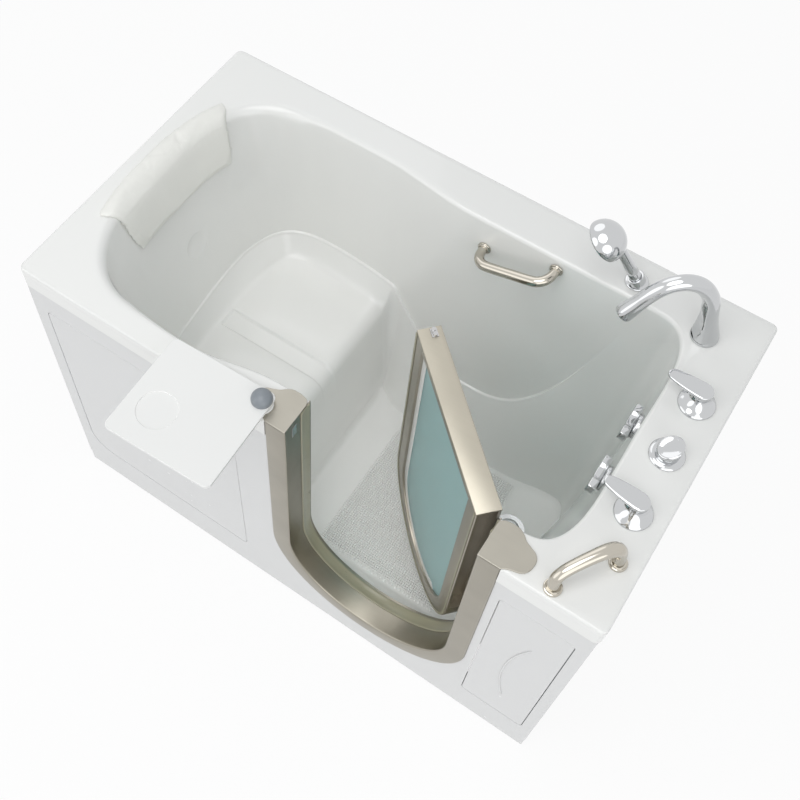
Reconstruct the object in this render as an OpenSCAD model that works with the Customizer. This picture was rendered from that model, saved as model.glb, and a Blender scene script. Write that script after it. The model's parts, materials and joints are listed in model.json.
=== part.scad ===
// Walk-in bathtub with an inward-swinging door, a moulded seat and deck-mounted taps.
// Millimetres. X runs along the tub, with the taps at +X and the headrest at -X.
// The door is on the -Y side, +Z is up, and the origin is on the floor under the tub's middle.

/* [Tub] */
// Overall length of the deck
tub_l = 1320; // [1280:10:1400]
// Overall width of the deck, front to back
tub_w = 745; // [735:5:790]
// Height of the deck above the floor
tub_h = 890; // [860:10:930]
// Thickness of the moulded shell
shell_t = 6; // [5:0.5:7]
// Height of the turned-down lip round the deck
lip_h = 57; // [45:1:70]
// Radius of the deck's four corners in plan
corner_r = 14; // [8:1:20]
// Height of the footwell floor
floor_z = 105; // [104:1:112]
// Height of the seat
seat_z = 430; // [400:5:450]

/* [Basin] */
// Deck width beside the headrest
head_deck = 48; // [44:1:56]
// Deck width under the taps
tap_deck = 120; // [112:1:126]
// Deck width behind the seat
seat_back_deck = 72; // [66:1:80]
// Deck width behind the footwell
foot_back_deck = 97; // [90:1:104]
// Deck width in front of the seat
front_deck = 45; // [42:1:50]
// Depth of the wall that the doorway passes through
sill_deck = 79; // [76:1:84]
// Length of the rounded headrest end in plan
head_bow = 212; // [190:2:230]
// Length of the rounded tap end in plan
tap_bow = 140; // [120:2:150]
// Rounding of the rim at the headrest
head_roll = 24; // [18:1:26]
// Rounding of the rim along the sides
side_roll = 10; // [6:1:12]
// Rounding of the rim at the doorway
door_roll = 5; // [4:0.5:6]
// Height of the moulded line above the seat pan
shoulder_rise = 50; // [35:1:60]
// Height of the moulded line behind the footwell
waist_z = 275; // [260:5:290]
// Width of the dished border round the seat pan
seat_dish = 55; // [45:1:60]
// Width of the hollow at the foot of the back wall
back_dish = 80; // [70:1:85]
// Width of the hollow at the foot of the tap end
tap_dish = 110; // [100:1:116]
// Radius of the seat's front edge
seat_nose = 40; // [30:1:45]
// Distance from the head end of the deck to the seat's front edge
seat_run = 515; // [510:1:520]
// Lean of the seat's front face from upright, in degrees
seat_lean = 7; // [5:0.5:8]

/* [Doorway] */
// Distance from the tap end of the deck to the doorway
door_end = 251.5; // [248:0.5:256]
// Half of the clear width of the doorway
door_r = 205; // [200:1:207]
// Height of the doorway's sill over the footwell floor
sill_rise = 39; // [36:1:45]
// Width of the steel face round the doorway
jamb_face = 47; // [44:1:48]
// Thickness of the jamb's sheet steel
jamb_t = 2; // [1.5:0.25:2.5]
// Thickness of the door seal in the jamb
gasket_t = 2.6; // [2:0.1:2.8]
// Width of the door seal in the jamb
gasket_w = 28; // [24:1:30]

/* [Door] */
// Gap between the door's edge and the jamb
door_gap = 7; // [6.5:0.1:8]
// Thickness of the door
door_t = 50; // [46:1:52]
// Width of the door frame's face
door_face = 42; // [38:1:44]
// Thickness of the glass
glass_t = 8; // [6:1:10]
// Height of the frame's bar over the glass
top_bar = 14; // [12:1:20]
// Width of the white border on the glass
border_w = 20; // [14:1:24]
// Angle at which the door stands open
door_open = 42.6; // [30:0.1:60]
// Radius of the hinge knuckles
knuckle_r = 6; // [5:0.25:6.5]
// Diameter of the hinge pin
hinge_pin_d = 6; // [5:0.25:7]

/* [Tray] */
// Length of the tray along the tub
tray_l = 236; // [220:2:250]
// Width of the tray
tray_w = 225; // [210:2:235]
// Thickness of the tray
tray_t = 8; // [6:0.5:10]
// Height of the tray's top above the deck
tray_rise = 22; // [20:1:26]
// Diameter of the tray's knob
tray_knob_d = 42; // [38:1:46]

/* [Taps] */
// Diameter of the tap bases
tap_base_d = 72; // [64:1:76]
// Length of the lever blades from their axis
blade_l = 72; // [66:1:78]
// Diameter of the diverter's base
diverter_base_d = 68; // [60:1:72]
// Diameter of the diverter knob
diverter_d = 46; // [42:1:50]
// Diameter of the spout's arch
spout_d = 31; // [28:1:34]
// Diameter of the spout's tip
spout_tip_d = 37; // [36:1:40]
// Diameter of the spout's foot
spout_foot_d = 60; // [54:1:62]
// Reach of the spout's arch, from foot to tip
spout_arch = 164; // [150:2:170]
// Diameter of the hand shower's head
head_d = 86; // [76:1:90]
// Diameter of the hand shower's grip at its foot
grip_d = 24; // [22:0.5:26]

/* [Grab bars] */
// Diameter of the wall bar
wall_bar_d = 22; // [20:1:25]
// Length of the wall bar between its flanges
wall_bar_l = 170; // [160:2:190]
// Stand-off of the wall bar from the wall
wall_bar_out = 48; // [45:1:55]
// Diameter of the deck bar
deck_bar_d = 24; // [20:1:26]
// Distance between the deck bar's feet
deck_bar_l = 126; // [120:2:132]

/* [Drains] */
// Diameter of the drain flanges
drain_d = 82; // [76:1:84]
// Outer diameter of the waste pipes
pipe_d = 38; // [34:1:40]
// Travel of the drain plugs
plug_lift = 10; // [6:1:12]
// Width of the overflow knobs
overflow_w = 78; // [70:1:80]

/* [Frame] */
// Outer size of the square frame tube
rail = 30; // [25:1:32]
// Wall of the frame tube
rail_t = 2; // [1.5:0.25:3]
// Height of the frame above the floor
foot_h = 49; // [46:1:50]
// Diameter of the foot pads
foot_d = 50; // [40:1:60]
// Diameter of the foot studs
stud_d = 12; // [10:1:12]

/* [Headrest] */
// Thickness of the headrest pad
pad_t = 17; // [14:1:20]
// How far the pad hangs down the backrest
pad_drop = 130; // [110:2:140]
// Width of the pad along the rim
pad_w = 384; // [350:2:396]

/* [Hidden] */
$fn = 64;

seat = 0.3;            // clearance between pieces that are seated on each other
sliver = 0.05;         // overlap that makes two shapes of one piece into one
back_y = tub_w / 2;
front_y = -tub_w / 2;
under_z = tub_h - shell_t;
half_l = tub_l / 2;
seat_edge_x = -half_l + seat_run;
door_x = half_l - door_end - door_r;
door_cz = floor_z + sill_rise + door_r;

function mix(a, b, t) = a + (b - a) * t;
function smooth(t) = let(c = min(1, max(0, t))) c * c * (3 - 2 * c);
function arc(c, r, a0, a1, n) = [for (i = [0:n]) let(a = mix(a0, a1, i / n)) c + r * [cos(a), sin(a)]];

// The basin: its outline at the deck is two straight sides with a rounded end at each side.
head_x = -half_l + head_deck + head_bow;   // where the rounded headrest end starts
tap_x = half_l - tap_deck - tap_bow;       // where the rounded tap end starts
spine_y = -8;                              // line along the basin that its sections run down to
channel_half = 27;                         // half width of the drain channel along the seat
channel_bank = 6;
channel_depth = 9;
elbow_x = [seat_edge_x - 40, seat_edge_x + 60];        // where the back rim steps in behind the seat
front_step_x = [seat_edge_x - 125, seat_edge_x + 85];  // where the front rim steps in beside the doorway
footwell_x = seat_edge_x - 5;                          // where the footwell's front wall starts
head_power = 2.5;
tap_power = 4.5;
wall_draft = 0.03;
back_lean = 0.22;                          // lean of the backrest, sideways for each unit down
lean_arc = 33;                             // degrees over which the backrest turns into the side walls
toe_r = 18;

function back_edge(x) = back_y - mix(seat_back_deck, foot_back_deck,
  smooth((x - elbow_x[0]) / (elbow_x[1] - elbow_x[0])));
function front_edge(x) = front_y + mix(front_deck, sill_deck,
  smooth((x - front_step_x[0]) / (front_step_x[1] - front_step_x[0])));
function bend(v, n) = sign(v) * pow(abs(v), 2 / n);

// Seat and floor, seen from the front: pan, rounded edge, leaning face, fillet and floor.
// g is how far outside the inner surface the section lies.
nose_c = [seat_edge_x - seat_nose, seat_z - seat_nose];
face_run = (nose_c[1] + (seat_nose + toe_r) * sin(seat_lean) - floor_z - toe_r) / cos(seat_lean);
toe_c = nose_c + (seat_nose + toe_r) * [cos(seat_lean), sin(seat_lean)]
  + face_run * [sin(seat_lean), -cos(seat_lean)];
function pan_section(g) = concat(
  [for (i = [0:3]) [mix(head_x, nose_c[0] - 8, i / 3), seat_z - g]],
  arc(nose_c, seat_nose - g, 90, seat_lean, 5),
  arc(toe_c, toe_r + g, 180 + seat_lean, 270, 3),
  [for (i = [1:9]) [mix(toe_c[0], tap_x, i / 9), floor_z - g]]);

// Height of the moulded line along the back wall: level over the seat, low over the footwell,
// and rising again to the rim at the taps.
line_fall_x = [seat_edge_x + 5, seat_edge_x + 235];
line_rise_x = [seat_edge_x + 255, half_l - tap_deck - 115];
line_top = tub_h - side_roll - 20;
sill_line = 40;             // height of the line over the footwell floor at the doorway
sill_dish = 35;
function near_seat(x, run) = smooth((x - footwell_x) / run);
function back_line(x) =
  let(fall = min(1, max(0, (x - line_fall_x[0]) / (line_fall_x[1] - line_fall_x[0]))),
      rise = max(0, (x - line_rise_x[0]) / (line_rise_x[1] - line_rise_x[0])),
      top = seat_z + shoulder_rise)
  min(line_top, waist_z + (top - waist_z) * pow(1 - fall, 1.6) + (tub_h - waist_z) * pow(rise, 2.6));
function front_line(x) = mix(seat_z + shoulder_rise, floor_z + sill_line, near_seat(x, 130));

function rim_roll(x) = mix(side_roll, head_roll, smooth((head_x + 100 - x) / 160));

// A station is [edge point, spine index, roll, draft, line height, dish width, base height].
fan_n = 14;
function head_station(i, g) =
  let(t = -90 - 180 * i / fan_n, side = t < -180 ? back_edge(head_x) - spine_y : spine_y - front_edge(head_x),
      w = smooth(min(i, fan_n - i) * 180 / fan_n / lean_arc))
  [[head_x - (head_bow + g) * bend(-cos(t), head_power), spine_y + (side + g) * bend(sin(t), head_power)], 0,
   head_roll, mix(wall_draft, back_lean, w), seat_z + shoulder_rise, seat_dish, seat_z - g];
function stations(g) =
  let(pan = pan_section(g), last = len(pan) - 1,
      tap_back_b = back_edge(tap_x) - spine_y, tap_front_b = spine_y - front_edge(tap_x))
  concat(
    [for (j = [0:last]) let(x = pan[j][0])
      [[x, back_edge(x) + g], j, rim_roll(x), wall_draft, back_line(x),
       mix(seat_dish, back_dish, near_seat(x + 10, 120)), pan[j][1]]],
    [for (i = [1:fan_n - 1]) let(t = 90 - 180 * i / fan_n, b = t > 0 ? tap_back_b : tap_front_b,
        w = smooth((90 - abs(t)) / 40), toward_front = smooth((-t - 40) / 35))
      [[tap_x + (tap_bow + g) * bend(cos(t), tap_power), spine_y + (b + g) * bend(sin(t), tap_power)], last,
       mix(side_roll, door_roll, toward_front), mix(wall_draft, 0, toward_front),
       mix(mix(back_line(tap_x), front_line(tap_x), toward_front), line_top, w),
       mix(mix(back_dish, sill_dish, toward_front), tap_dish, w), floor_z - g]],
    [for (j = [last:-1:0]) let(x = pan[j][0], door = near_seat(x, 100))
      [[x, front_edge(x) - g], j, mix(rim_roll(x), door_roll, door), mix(wall_draft, 0, door), front_line(x),
       mix(seat_dish, sill_dish, door), pan[j][1]]],
    [for (i = [1:fan_n - 1]) head_station(i, g)]);

// Section of one station from the rim to the spine, as [distance from the edge, height].
// The wall has a row at the foot of the headrest pad.
roll_steps = [0, 30, 60, 90];
dish_steps = [0.2, 0.45, 0.7, 1];
function section(s, top, span, roll_up, g, dip) =
  let(r = s[2], z1 = tub_h - r, line_d = r + (z1 - s[4]) * s[3], low = line_d + s[5],
      wall = min(0.5, (pad_drop - r) / (z1 - s[4])),
      bank = span - channel_half - g,
      inner = bank > low + 10 ? [(low + bank) / 2, bank, bank + channel_bank]
        : [for (u = [0.25, 0.5, 0.75]) mix(low, span, u)])
  concat(
    [[0, top]],
    roll_up ? [for (a = roll_steps) [r * sin(a), tub_h - r * (1 - cos(a))]] : [[r, z1 - 1]],
    [[mix(r, line_d, wall), mix(z1, s[4], wall)], [line_d, s[4]]],
    [for (u = dish_steps) [line_d + s[5] * u, s[6] + (s[4] - s[6]) * pow(1 - u, 1.5)]],
    [[inner[0], s[6]], [inner[1], s[6]], [inner[2], s[6] - dip]]);

// Closed solid that fills the basin up to a height; g grows it outwards by the shell's thickness.
module basin(g, top, roll_up) {
  list = stations(g);
  pan = pan_section(g);
  dips = [for (p = pan) p[0] > head_x + 1 && p[1] > seat_z - g - seat_nose ? channel_depth : 0];
  spine = [for (i = [0:len(pan) - 1]) [pan[i][0], spine_y, pan[i][1] - dips[i]]];
  rows = [for (s = list) let(q = spine[s[1]], to = [q[0], q[1]] - s[0], span = norm(to), e = to / span)
    [for (p = section(s, top, span, roll_up, g, dips[s[1]])) [s[0][0] + e[0] * p[0], s[0][1] + e[1] * p[0], p[1]]]];
  n = len(list);
  k = len(rows[0]);
  at = n * k;
  points = concat([for (row = rows) each row], spine);
  faces = concat(
    [[for (i = [0:n - 1]) i * k]],
    [for (i = [0:n - 1]) let(j = (i + 1) % n) for (m = [0:k - 2]) each
      [[i * k + m, i * k + m + 1, j * k + m + 1], [i * k + m, j * k + m + 1, j * k + m]]],
    [for (i = [0:n - 1]) let(j = (i + 1) % n, a = at + list[i][1], b = at + list[j][1]) each
      a == b ? [[i * k + k - 1, a, j * k + k - 1]]
             : [[i * k + k - 1, a, b], [i * k + k - 1, b, j * k + k - 1]]]);
  polyhedron(points = points, faces = faces, convexity = 6);
}

// Small helpers for shapes that many pieces use.
module place(p) { translate([p[0], p[1], len(p) > 2 ? p[2] : 0]) children(); }
module box(lo, hi) { translate(lo) cube(hi - lo); }
module rounded_rect(lo, hi, r) {
  w = hi[0] - lo[0];
  h = hi[1] - lo[1];
  translate(lo) union() {
    translate([r, 0]) square([w - 2 * r, h]);
    translate([0, r]) square([w, h - 2 * r]);
    for (x = [r, w - r], y = [r, h - r]) translate([x, y]) circle(r);
  }
}
module ring(r_out, r_in, h) {
  difference() {
    cylinder(r = r_out, h = h);
    translate([0, 0, -1]) cylinder(r = r_in, h = h + 2);
  }
}
// The doorway's shape, a round foot with straight sides, as a slab from y0 to y1.
module doorway(r, y0, y1, top) {
  translate([door_x, y1, 0]) rotate([90, 0, 0]) linear_extrude(y1 - y0) union() {
    translate([0, door_cz]) circle(r, $fn = 128);
    translate([-r, door_cz]) square([2 * r, top - door_cz]);
  }
}

// Places of the fixtures on the deck, and their holes.
tap_row_in = 63;
tap_row_x = half_l - tap_row_in;
hot_at = [tap_row_x, 120];
diverter_at = [tap_row_x, -9];
cold_at = [tap_row_x, -146];
spout_in = [114, 106];
spout_at = [half_l - spout_in[0], back_y - spout_in[1]];
spout_turn = 216;
holder_in = [279, 66];
holder_at = [half_l - holder_in[0], back_y - holder_in[1]];
tray_in = [22, 26];
tray_at = [door_x - door_r - jamb_face - tray_in[0], front_y + tray_in[1]];
deck_bar_in = [115, 23];
deck_bar_at = [half_l - deck_bar_in[0], front_y + deck_bar_in[1]];
deck_bar_turn = 55;
valve_r = 15;
spout_shank_r = 13;
holder_shank_r = 12;
tray_stem_r = 8;
tray_stem_l = 26;
bolt_r = 4;
deck_bar_feet = [deck_bar_at, deck_bar_at + deck_bar_l * [cos(deck_bar_turn), sin(deck_bar_turn)]];

// The wall bar's flanges sit on the back wall over the footwell.
wall_bar_a = [door_x - 136.5, 0, tub_h - 80];
wall_bar_tilt = 17.2;
wall_bar_ends = [wall_bar_a, wall_bar_a + wall_bar_l * [cos(wall_bar_tilt), 0, sin(wall_bar_tilt)]];
function back_wall_y(z) = back_y - foot_back_deck - side_roll - (tub_h - side_roll - z) * wall_draft;
wall_flange_r = 15;
wall_bar_y = back_wall_y(wall_bar_ends[0][2] - wall_flange_r) - seat;

// Drains and overflows stand in two rows.
drain_in = 288;
drain_x = half_l - drain_in;
drain_rows = [38, -66];
overflow_rows = [58, -75];
drain_hole_r = 24;
overflow_drop = 75;
overflow_z = tub_h - overflow_drop;
overflow_r = 17;
tap_slope = tap_dish * dish_steps[0] / (line_top - floor_z) / (1 - pow(1 - dish_steps[0], 1.5));
tap_swell = 0.8;
tap_line_x = half_l - tap_deck - side_roll - (tub_h - side_roll - line_top) * wall_draft;
overflow_wall_x = tap_line_x - (line_top - overflow_z) * tap_slope + tap_swell;
overflow_tilt = atan(tap_slope);
downpipe_in = 100;
downpipe_x = half_l - downpipe_in;
pipe_under = 28;            // height of the waste pipes' underside
pipe_z = pipe_under + pipe_d / 2;

module tub_shell() {
  jamb_x0 = door_x - door_r - jamb_face - seat;
  jamb_x1 = door_x + door_r + jamb_face + seat;
  color("whitesmoke") difference() {
    union() {
      translate([0, 0, under_z]) linear_extrude(shell_t)
        rounded_rect([-half_l, front_y], [half_l, back_y], corner_r);
      translate([0, 0, tub_h - lip_h]) linear_extrude(lip_h - shell_t + sliver) difference() {
        rounded_rect([-half_l, front_y], [half_l, back_y], corner_r);
        rounded_rect([-half_l + shell_t, front_y + shell_t], [half_l - shell_t, back_y - shell_t],
          corner_r - shell_t + 1);
      }
      basin(shell_t, under_z + shell_t / 2, false);
    }
    basin(0, tub_h + 10, true);
    // the deck and lip stop either side of the jamb
    box([jamb_x0, front_y - 1, door_cz + door_r], [jamb_x1, front_y + sill_deck - door_roll - 4, tub_h + 1]);
    doorway(door_r + jamb_t + seat, front_y - 1, front_y + sill_deck + 60, tub_h + 1);
    for (p = [hot_at, diverter_at, cold_at]) place(p) cylinder(r = valve_r + seat, h = tub_h + 1);
    place(spout_at) cylinder(r = spout_shank_r + seat, h = tub_h + 1);
    place(holder_at) cylinder(r = holder_shank_r + seat, h = tub_h + 1);
    place(tray_at) cylinder(r = tray_stem_r + seat, h = tub_h + 1);
    for (p = deck_bar_feet) place(p) cylinder(r = bolt_r + seat, h = tub_h + 1);
    for (p = wall_bar_ends) translate([p[0], 0, p[2]]) rotate([-90, 0, 0])
      cylinder(r = bolt_r + seat, h = back_y - lip_h);
    for (y = drain_rows) place([drain_x, y]) cylinder(r = drain_hole_r + seat, h = floor_z + 1);
    for (y = overflow_rows) translate([overflow_wall_x - 30, y, overflow_z]) rotate([0, 90, 0])
      cylinder(r = overflow_r + seat, h = 60);
  }
}

// Front apron: a flat sheet in the front plane with a set-back plinth, cut out round the door jamb.
apron_in = 4;
apron_y = front_y + apron_in;
apron_t = 5;
apron_top = tub_h - lip_h - seat;
apron_end = half_l - 12;
plinth_z = floor_z - 7;
plinth_foot = 12;
plinth_back = 15;
jamb_r = door_r + jamb_face;
panel_gap = 1.5;
panel_t = 5;
panel_low = plinth_z + 35;
panel_high = apron_top - 76.7;
panel_ends = [40, 30];      // from the deck's ends to the two panels
panel_sides = [88.5, 19.5]; // from the jamb's sides to the two panels
left_panel = [[-half_l + panel_ends[0], panel_low], [door_x - jamb_r - panel_sides[0], panel_high]];
right_panel = [[door_x + jamb_r + panel_sides[1], panel_low], [half_l - panel_ends[1], panel_high]];
left_radii = [66, 16, 150, 16];
right_radii = [12, 12, 12, 12];

// Rectangle whose corners have their own radii, from the lower left one anticlockwise.
module field(lo, hi, radii, grow) {
  a = lo - [grow, grow];
  b = hi + [grow, grow];
  corners = [[a[0], a[1]], [b[0], a[1]], [b[0], b[1]], [a[0], b[1]]];
  inward = [[1, 1], [-1, 1], [-1, -1], [1, -1]];
  difference() {
    translate(a) square(b - a);
    for (i = [0:3]) let(r = radii[i] + grow, c = corners[i] + r * inward[i]) difference() {
      translate([min(c[0], corners[i][0]), min(c[1], corners[i][1])]
        - [inward[i][0] > 0 ? 1 : 0, inward[i][1] > 0 ? 1 : 0]) square(r + 1);
      translate(c) circle(r);
    }
  }
}
module upright(y0, y1) { translate([0, y1, 0]) rotate([90, 0, 0]) linear_extrude(y1 - y0) children(); }

module front_apron() {
  color("whitesmoke") difference() {
    union() {
      box([-apron_end, apron_y, plinth_z], [apron_end, apron_y + apron_t, apron_top]);
      box([-apron_end, apron_y + sliver, plinth_z],
        [apron_end, apron_y + plinth_back + apron_t, plinth_z + apron_t]);
      box([-apron_end, apron_y + plinth_back, plinth_foot],
        [apron_end, apron_y + plinth_back + apron_t, plinth_z + sliver]);
    }
    doorway(jamb_r + seat, front_y - 1, apron_y + plinth_back + apron_t + 1, apron_top + 1);
    upright(front_y - 1, apron_y + apron_t + 1) field(left_panel[0], left_panel[1], left_radii, panel_gap);
    upright(front_y - 1, apron_y + apron_t + 1) field(right_panel[0], right_panel[1], right_radii, panel_gap);
  }
}
module left_access_panel() {
  color("white") upright(apron_y, apron_y + panel_t) field(left_panel[0], left_panel[1], left_radii, 0);
}
module right_access_panel() {
  color("white") upright(apron_y, apron_y + panel_t) field(right_panel[0], right_panel[1], right_radii, 0);
}
module panel_catches() {
  catch_w = 24;
  catch_t = 8;
  color("dimgray") for (side = [[left_panel, 170, 190], [right_panel, 35, 55]]) let(lo = side[0][0], hi = side[0][1])
    for (x = [lo[0] + side[1], hi[0] - side[2]], z = [lo[1], hi[1]])
      box([x - catch_w / 2, apron_y + apron_t + seat, z - catch_w / 2],
          [x + catch_w / 2, apron_y + apron_t + seat + catch_t, z + catch_w / 2]);
}

// Welded frame of square tube under the shell, on adjustable feet.
rail_top = foot_h + rail;
rail_end = half_l - 18;
front_rail_y = front_y + 28;
rear_rail_y = back_y - 42;
seat_leg_in = [205, 445];   // from the head end to the two rails under the seat
drain_rail_in = 77;         // from the drain rail to the drains
cross_x = [-rail_end + rail / 2, -half_l + seat_leg_in[0], -half_l + seat_leg_in[1], 0,
  drain_x - drain_rail_in, rail_end - rail / 2];
foot_ys = [front_rail_y + rail / 2, rear_rail_y + rail / 2];
feet = concat([for (i = [0, 2, 3, 4, 5], y = foot_ys) [cross_x[i], y]], [[0, 0]]);
pad_h = 8;
nut_h = 8;
nut_af = 19;
stud_short = 8;             // how far the studs end below the rails' tops

module tube_along_x(x0, x1, y0) {
  difference() {
    box([x0, y0, foot_h], [x1, y0 + rail, rail_top]);
    box([x0 - 1, y0 + rail_t, foot_h + rail_t], [x1 + 1, y0 + rail - rail_t, rail_top - rail_t]);
    for (p = feet) place(p) cylinder(d = stud_d + 2 * seat, h = foot_h + rail_t + 1);
  }
}
module tube_along_y(x) {
  y0 = front_rail_y + rail + seat;
  y1 = rear_rail_y - seat;
  difference() {
    box([x - rail / 2, y0, foot_h], [x + rail / 2, y1, rail_top]);
    box([x - rail / 2 + rail_t, y0 - 1, foot_h + rail_t], [x + rail / 2 - rail_t, y1 + 1, rail_top - rail_t]);
    for (p = feet) place(p) cylinder(d = stud_d + 2 * seat, h = foot_h + rail_t + 1);
  }
}
module tube_up(p, z0, z1) {
  h = rail / 2;
  difference() {
    box([p[0] - h, p[1] - h, z0], [p[0] + h, p[1] + h, z1]);
    box([p[0] - h + rail_t, p[1] - h + rail_t, z0 - 1], [p[0] + h - rail_t, p[1] + h - rail_t, z1 + 1]);
  }
}
module front_rail() { color("dimgray") tube_along_x(-rail_end, rail_end, front_rail_y); }
module rear_rail() { color("dimgray") tube_along_x(-rail_end, rail_end, rear_rail_y); }
module left_rail() { color("dimgray") tube_along_y(cross_x[0]); }
module head_rail() { color("dimgray") tube_along_y(cross_x[1]); }
module seat_rail() { color("dimgray") tube_along_y(cross_x[2]); }
module middle_rail() { color("dimgray") tube_along_y(cross_x[3]); }
module drain_rail() { color("dimgray") tube_along_y(cross_x[4]); }
module right_rail() { color("dimgray") tube_along_y(cross_x[5]); }
module corner_posts() {
  color("dimgray") for (x = [cross_x[0], cross_x[5]], y = foot_ys) tube_up([x, y], rail_top + seat, under_z - seat);
}

bearer_t = 15;
bearer_z = seat_z - shell_t - channel_depth - seat - bearer_t;
leg_ys = [-150, 150];
bearer_edge = [20, 25];     // how far the bearer reaches past the legs' middles
module seat_bearer() {
  color("burlywood") box([cross_x[1] - bearer_edge[0], leg_ys[0] - bearer_edge[1], bearer_z],
    [cross_x[2] + bearer_edge[0], leg_ys[1] + bearer_edge[1], bearer_z + bearer_t]);
}
module seat_legs() {
  color("dimgray") for (x = [cross_x[1], cross_x[2]], y = leg_ys) tube_up([x, y], rail_top + seat, bearer_z - seat);
}
board_start = 85;           // from the seat's edge to the board under the footwell
board_stop = 52;            // from the board to the drains
board_sides = [147.5, 222.5];
module floor_board() {
  color("burlywood") box([seat_edge_x + board_start, front_y + board_sides[0], rail_top + seat],
    [drain_x - board_stop, back_y - board_sides[1], floor_z - shell_t - seat]);
}
module levelling_feet() {
  color("gray") for (p = feet) place(p) {
    cylinder(d1 = foot_d, d2 = foot_d - 8, h = pad_h);
    translate([0, 0, pad_h - sliver]) cylinder(d = stud_d, h = foot_h + rail - stud_short - pad_h);
  }
}
module hex_nut(af, bore, h) {
  difference() {
    cylinder(r = af / sqrt(3), h = h, $fn = 6);
    translate([0, 0, -1]) cylinder(r = bore, h = h + 2);
  }
}
module foot_lock_nuts() {
  color("silver") for (p = feet) translate([p[0], p[1], foot_h - seat - nut_h]) hex_nut(nut_af, stud_d / 2 + seat, nut_h);
}

// Steel jamb round the doorway, its caps and its seal.
jamb_top = tub_h - seat;
jamb_behind = 6;            // how far the jamb stands inside the shell's front wall
jamb_back = front_y + sill_deck + jamb_behind;
jamb_return = 22;
cap_t = 3;
cap_in = door_r - 1;
cap_out = jamb_face + 5;
cap_corner = 8;
cap_tab_x = 97;
cap_tab_y = 38;
cap_tab_r = 26;
module jamb_band(r_out, r_in, y0, y1) {
  difference() {
    doorway(r_out, y0, y1, jamb_top);
    doorway(r_in, y0 - 1, y1 + 1, jamb_top + 1);
  }
}
module door_jamb() {
  color("tan") union() {
    jamb_band(jamb_r, door_r, front_y, front_y + jamb_t);
    jamb_band(jamb_r, jamb_r - jamb_t, front_y, front_y + jamb_return);
    jamb_band(door_r + jamb_t, door_r, front_y, jamb_back);
  }
}
module jamb_cap(side) {
  translate([door_x, 0, tub_h + seat]) scale([side, 1, 1]) linear_extrude(cap_t) union() {
    rounded_rect([cap_in, front_y], [door_r + cap_out, jamb_back - 2], cap_corner);
    translate([door_r + cap_tab_x - cap_tab_r, front_y + cap_tab_y]) circle(cap_tab_r);
    translate([door_r + jamb_face - cap_corner, front_y + cap_tab_y - cap_tab_r])
      square([cap_tab_x - cap_tab_r - jamb_face + cap_corner, 2 * cap_tab_r]);
  }
}
module left_jamb_cap() {
  color("tan") difference() {
    jamb_cap(-1);
    place(tray_at) cylinder(r = tray_stem_r + seat, h = tub_h + 2 * cap_t);
  }
}
module right_jamb_cap() { color("tan") jamb_cap(1); }
module jamb_gasket() {
  y1 = jamb_back - 6;
  color("darkkhaki") jamb_band(door_r - seat, door_r - seat - gasket_t, y1 - gasket_w, y1);
}

// Door: drawn closed in its jamb, then swung open about the hinge pin.
hinge_behind = 9.5;         // how far the hinge pin stands behind the jamb
hinge_at = [door_x + door_r + 1.5, jamb_back + hinge_behind];
door_y1 = hinge_at[1];
door_y0 = door_y1 - door_t;
door_rim_r = door_r - door_gap;
top_rail_t = 6;
top_rail_z = tub_h - top_rail_t;
glass_grip = 8;
pane_r = door_rim_r - door_face + glass_grip;
opening_top = top_rail_z - top_bar;
pane_top = opening_top + glass_grip;
glass_in = 7;               // how far the glass sits behind the frame's outer face
glass_y0 = door_y0 + glass_in;
channel_w = 26;
channel_t = 7;
channel_foot = 12;
hinge_h = 66;
hinge_low = 31;
hinge_high = 110;
hinge_zs = [door_cz + hinge_low, tub_h - hinge_high];
knuckle_h = hinge_h / 3;
leaf_t = 2.5;
leaf_w = 38;
leaf_gap = 0.6;
pin_fit = 0.3;
latch_x = door_x - door_rim_r + 14;
latch_y = door_y1 - 18;
latch_z = tub_h - 16;
case_up = 1;
latch_case_l = 20;
latch_case_w = 14;
latch_pin_r = 3;
thumb_l = 11;
thumb_w = 6;
thumb_t = 3;
thumb_end_r = 4.5;
thumb_end_h = 5.5;

module swing() {
  translate([hinge_at[0], hinge_at[1], 0]) rotate([0, 0, -door_open])
    translate([-hinge_at[0], -hinge_at[1], 0]) children();
}
module latch_block(g, top) {
  box([latch_x - latch_case_l / 2 - g, latch_y - latch_case_w / 2 - g, latch_z - g],
    [latch_x + latch_case_l / 2 + g, latch_y + latch_case_w / 2 + g, top]);
}
module door_frame() {
  color("silver") swing() difference() {
    doorway(door_rim_r, door_y0, door_y1, top_rail_z - seat);
    doorway(door_rim_r - door_face, door_y0 - 1, door_y1 + 1, opening_top);
    doorway(pane_r + seat, glass_y0 - seat, glass_y0 + glass_t + seat, pane_top + seat);
    box([door_x + door_rim_r - channel_w, door_y0 + channel_t, door_cz + channel_foot],
      [door_x + door_rim_r + 1, door_y1 - channel_t, tub_h]);
    latch_block(seat, tub_h + 1);
  }
}
module door_top_rail() {
  color("tan") swing() difference() {
    box([door_x - door_rim_r, door_y0, top_rail_z], [door_x + door_rim_r, door_y1, tub_h]);
    latch_block(seat, tub_h + 1);
  }
}
module door_glass() { color("cadetblue") swing() doorway(pane_r, glass_y0, glass_y0 + glass_t, pane_top); }
border_t = 1;
border_stop = 105;          // where the border ends, past the door's middle
module glass_border() {
  edge = door_rim_r - door_face - seat;
  color("white") swing() for (y = [glass_y0 - border_t - seat, glass_y0 + glass_t + seat]) difference() {
    doorway(edge, y, y + border_t, opening_top - seat);
    doorway(edge - border_w, y - 1, y + border_t + 1, tub_h);
    box([door_x + border_stop, y - 1, 0], [door_x + door_r, y + border_t + 1, tub_h]);
  }
}
seal_in = 2;
seal_w = 6;
seal_t = 1.5;
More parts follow.
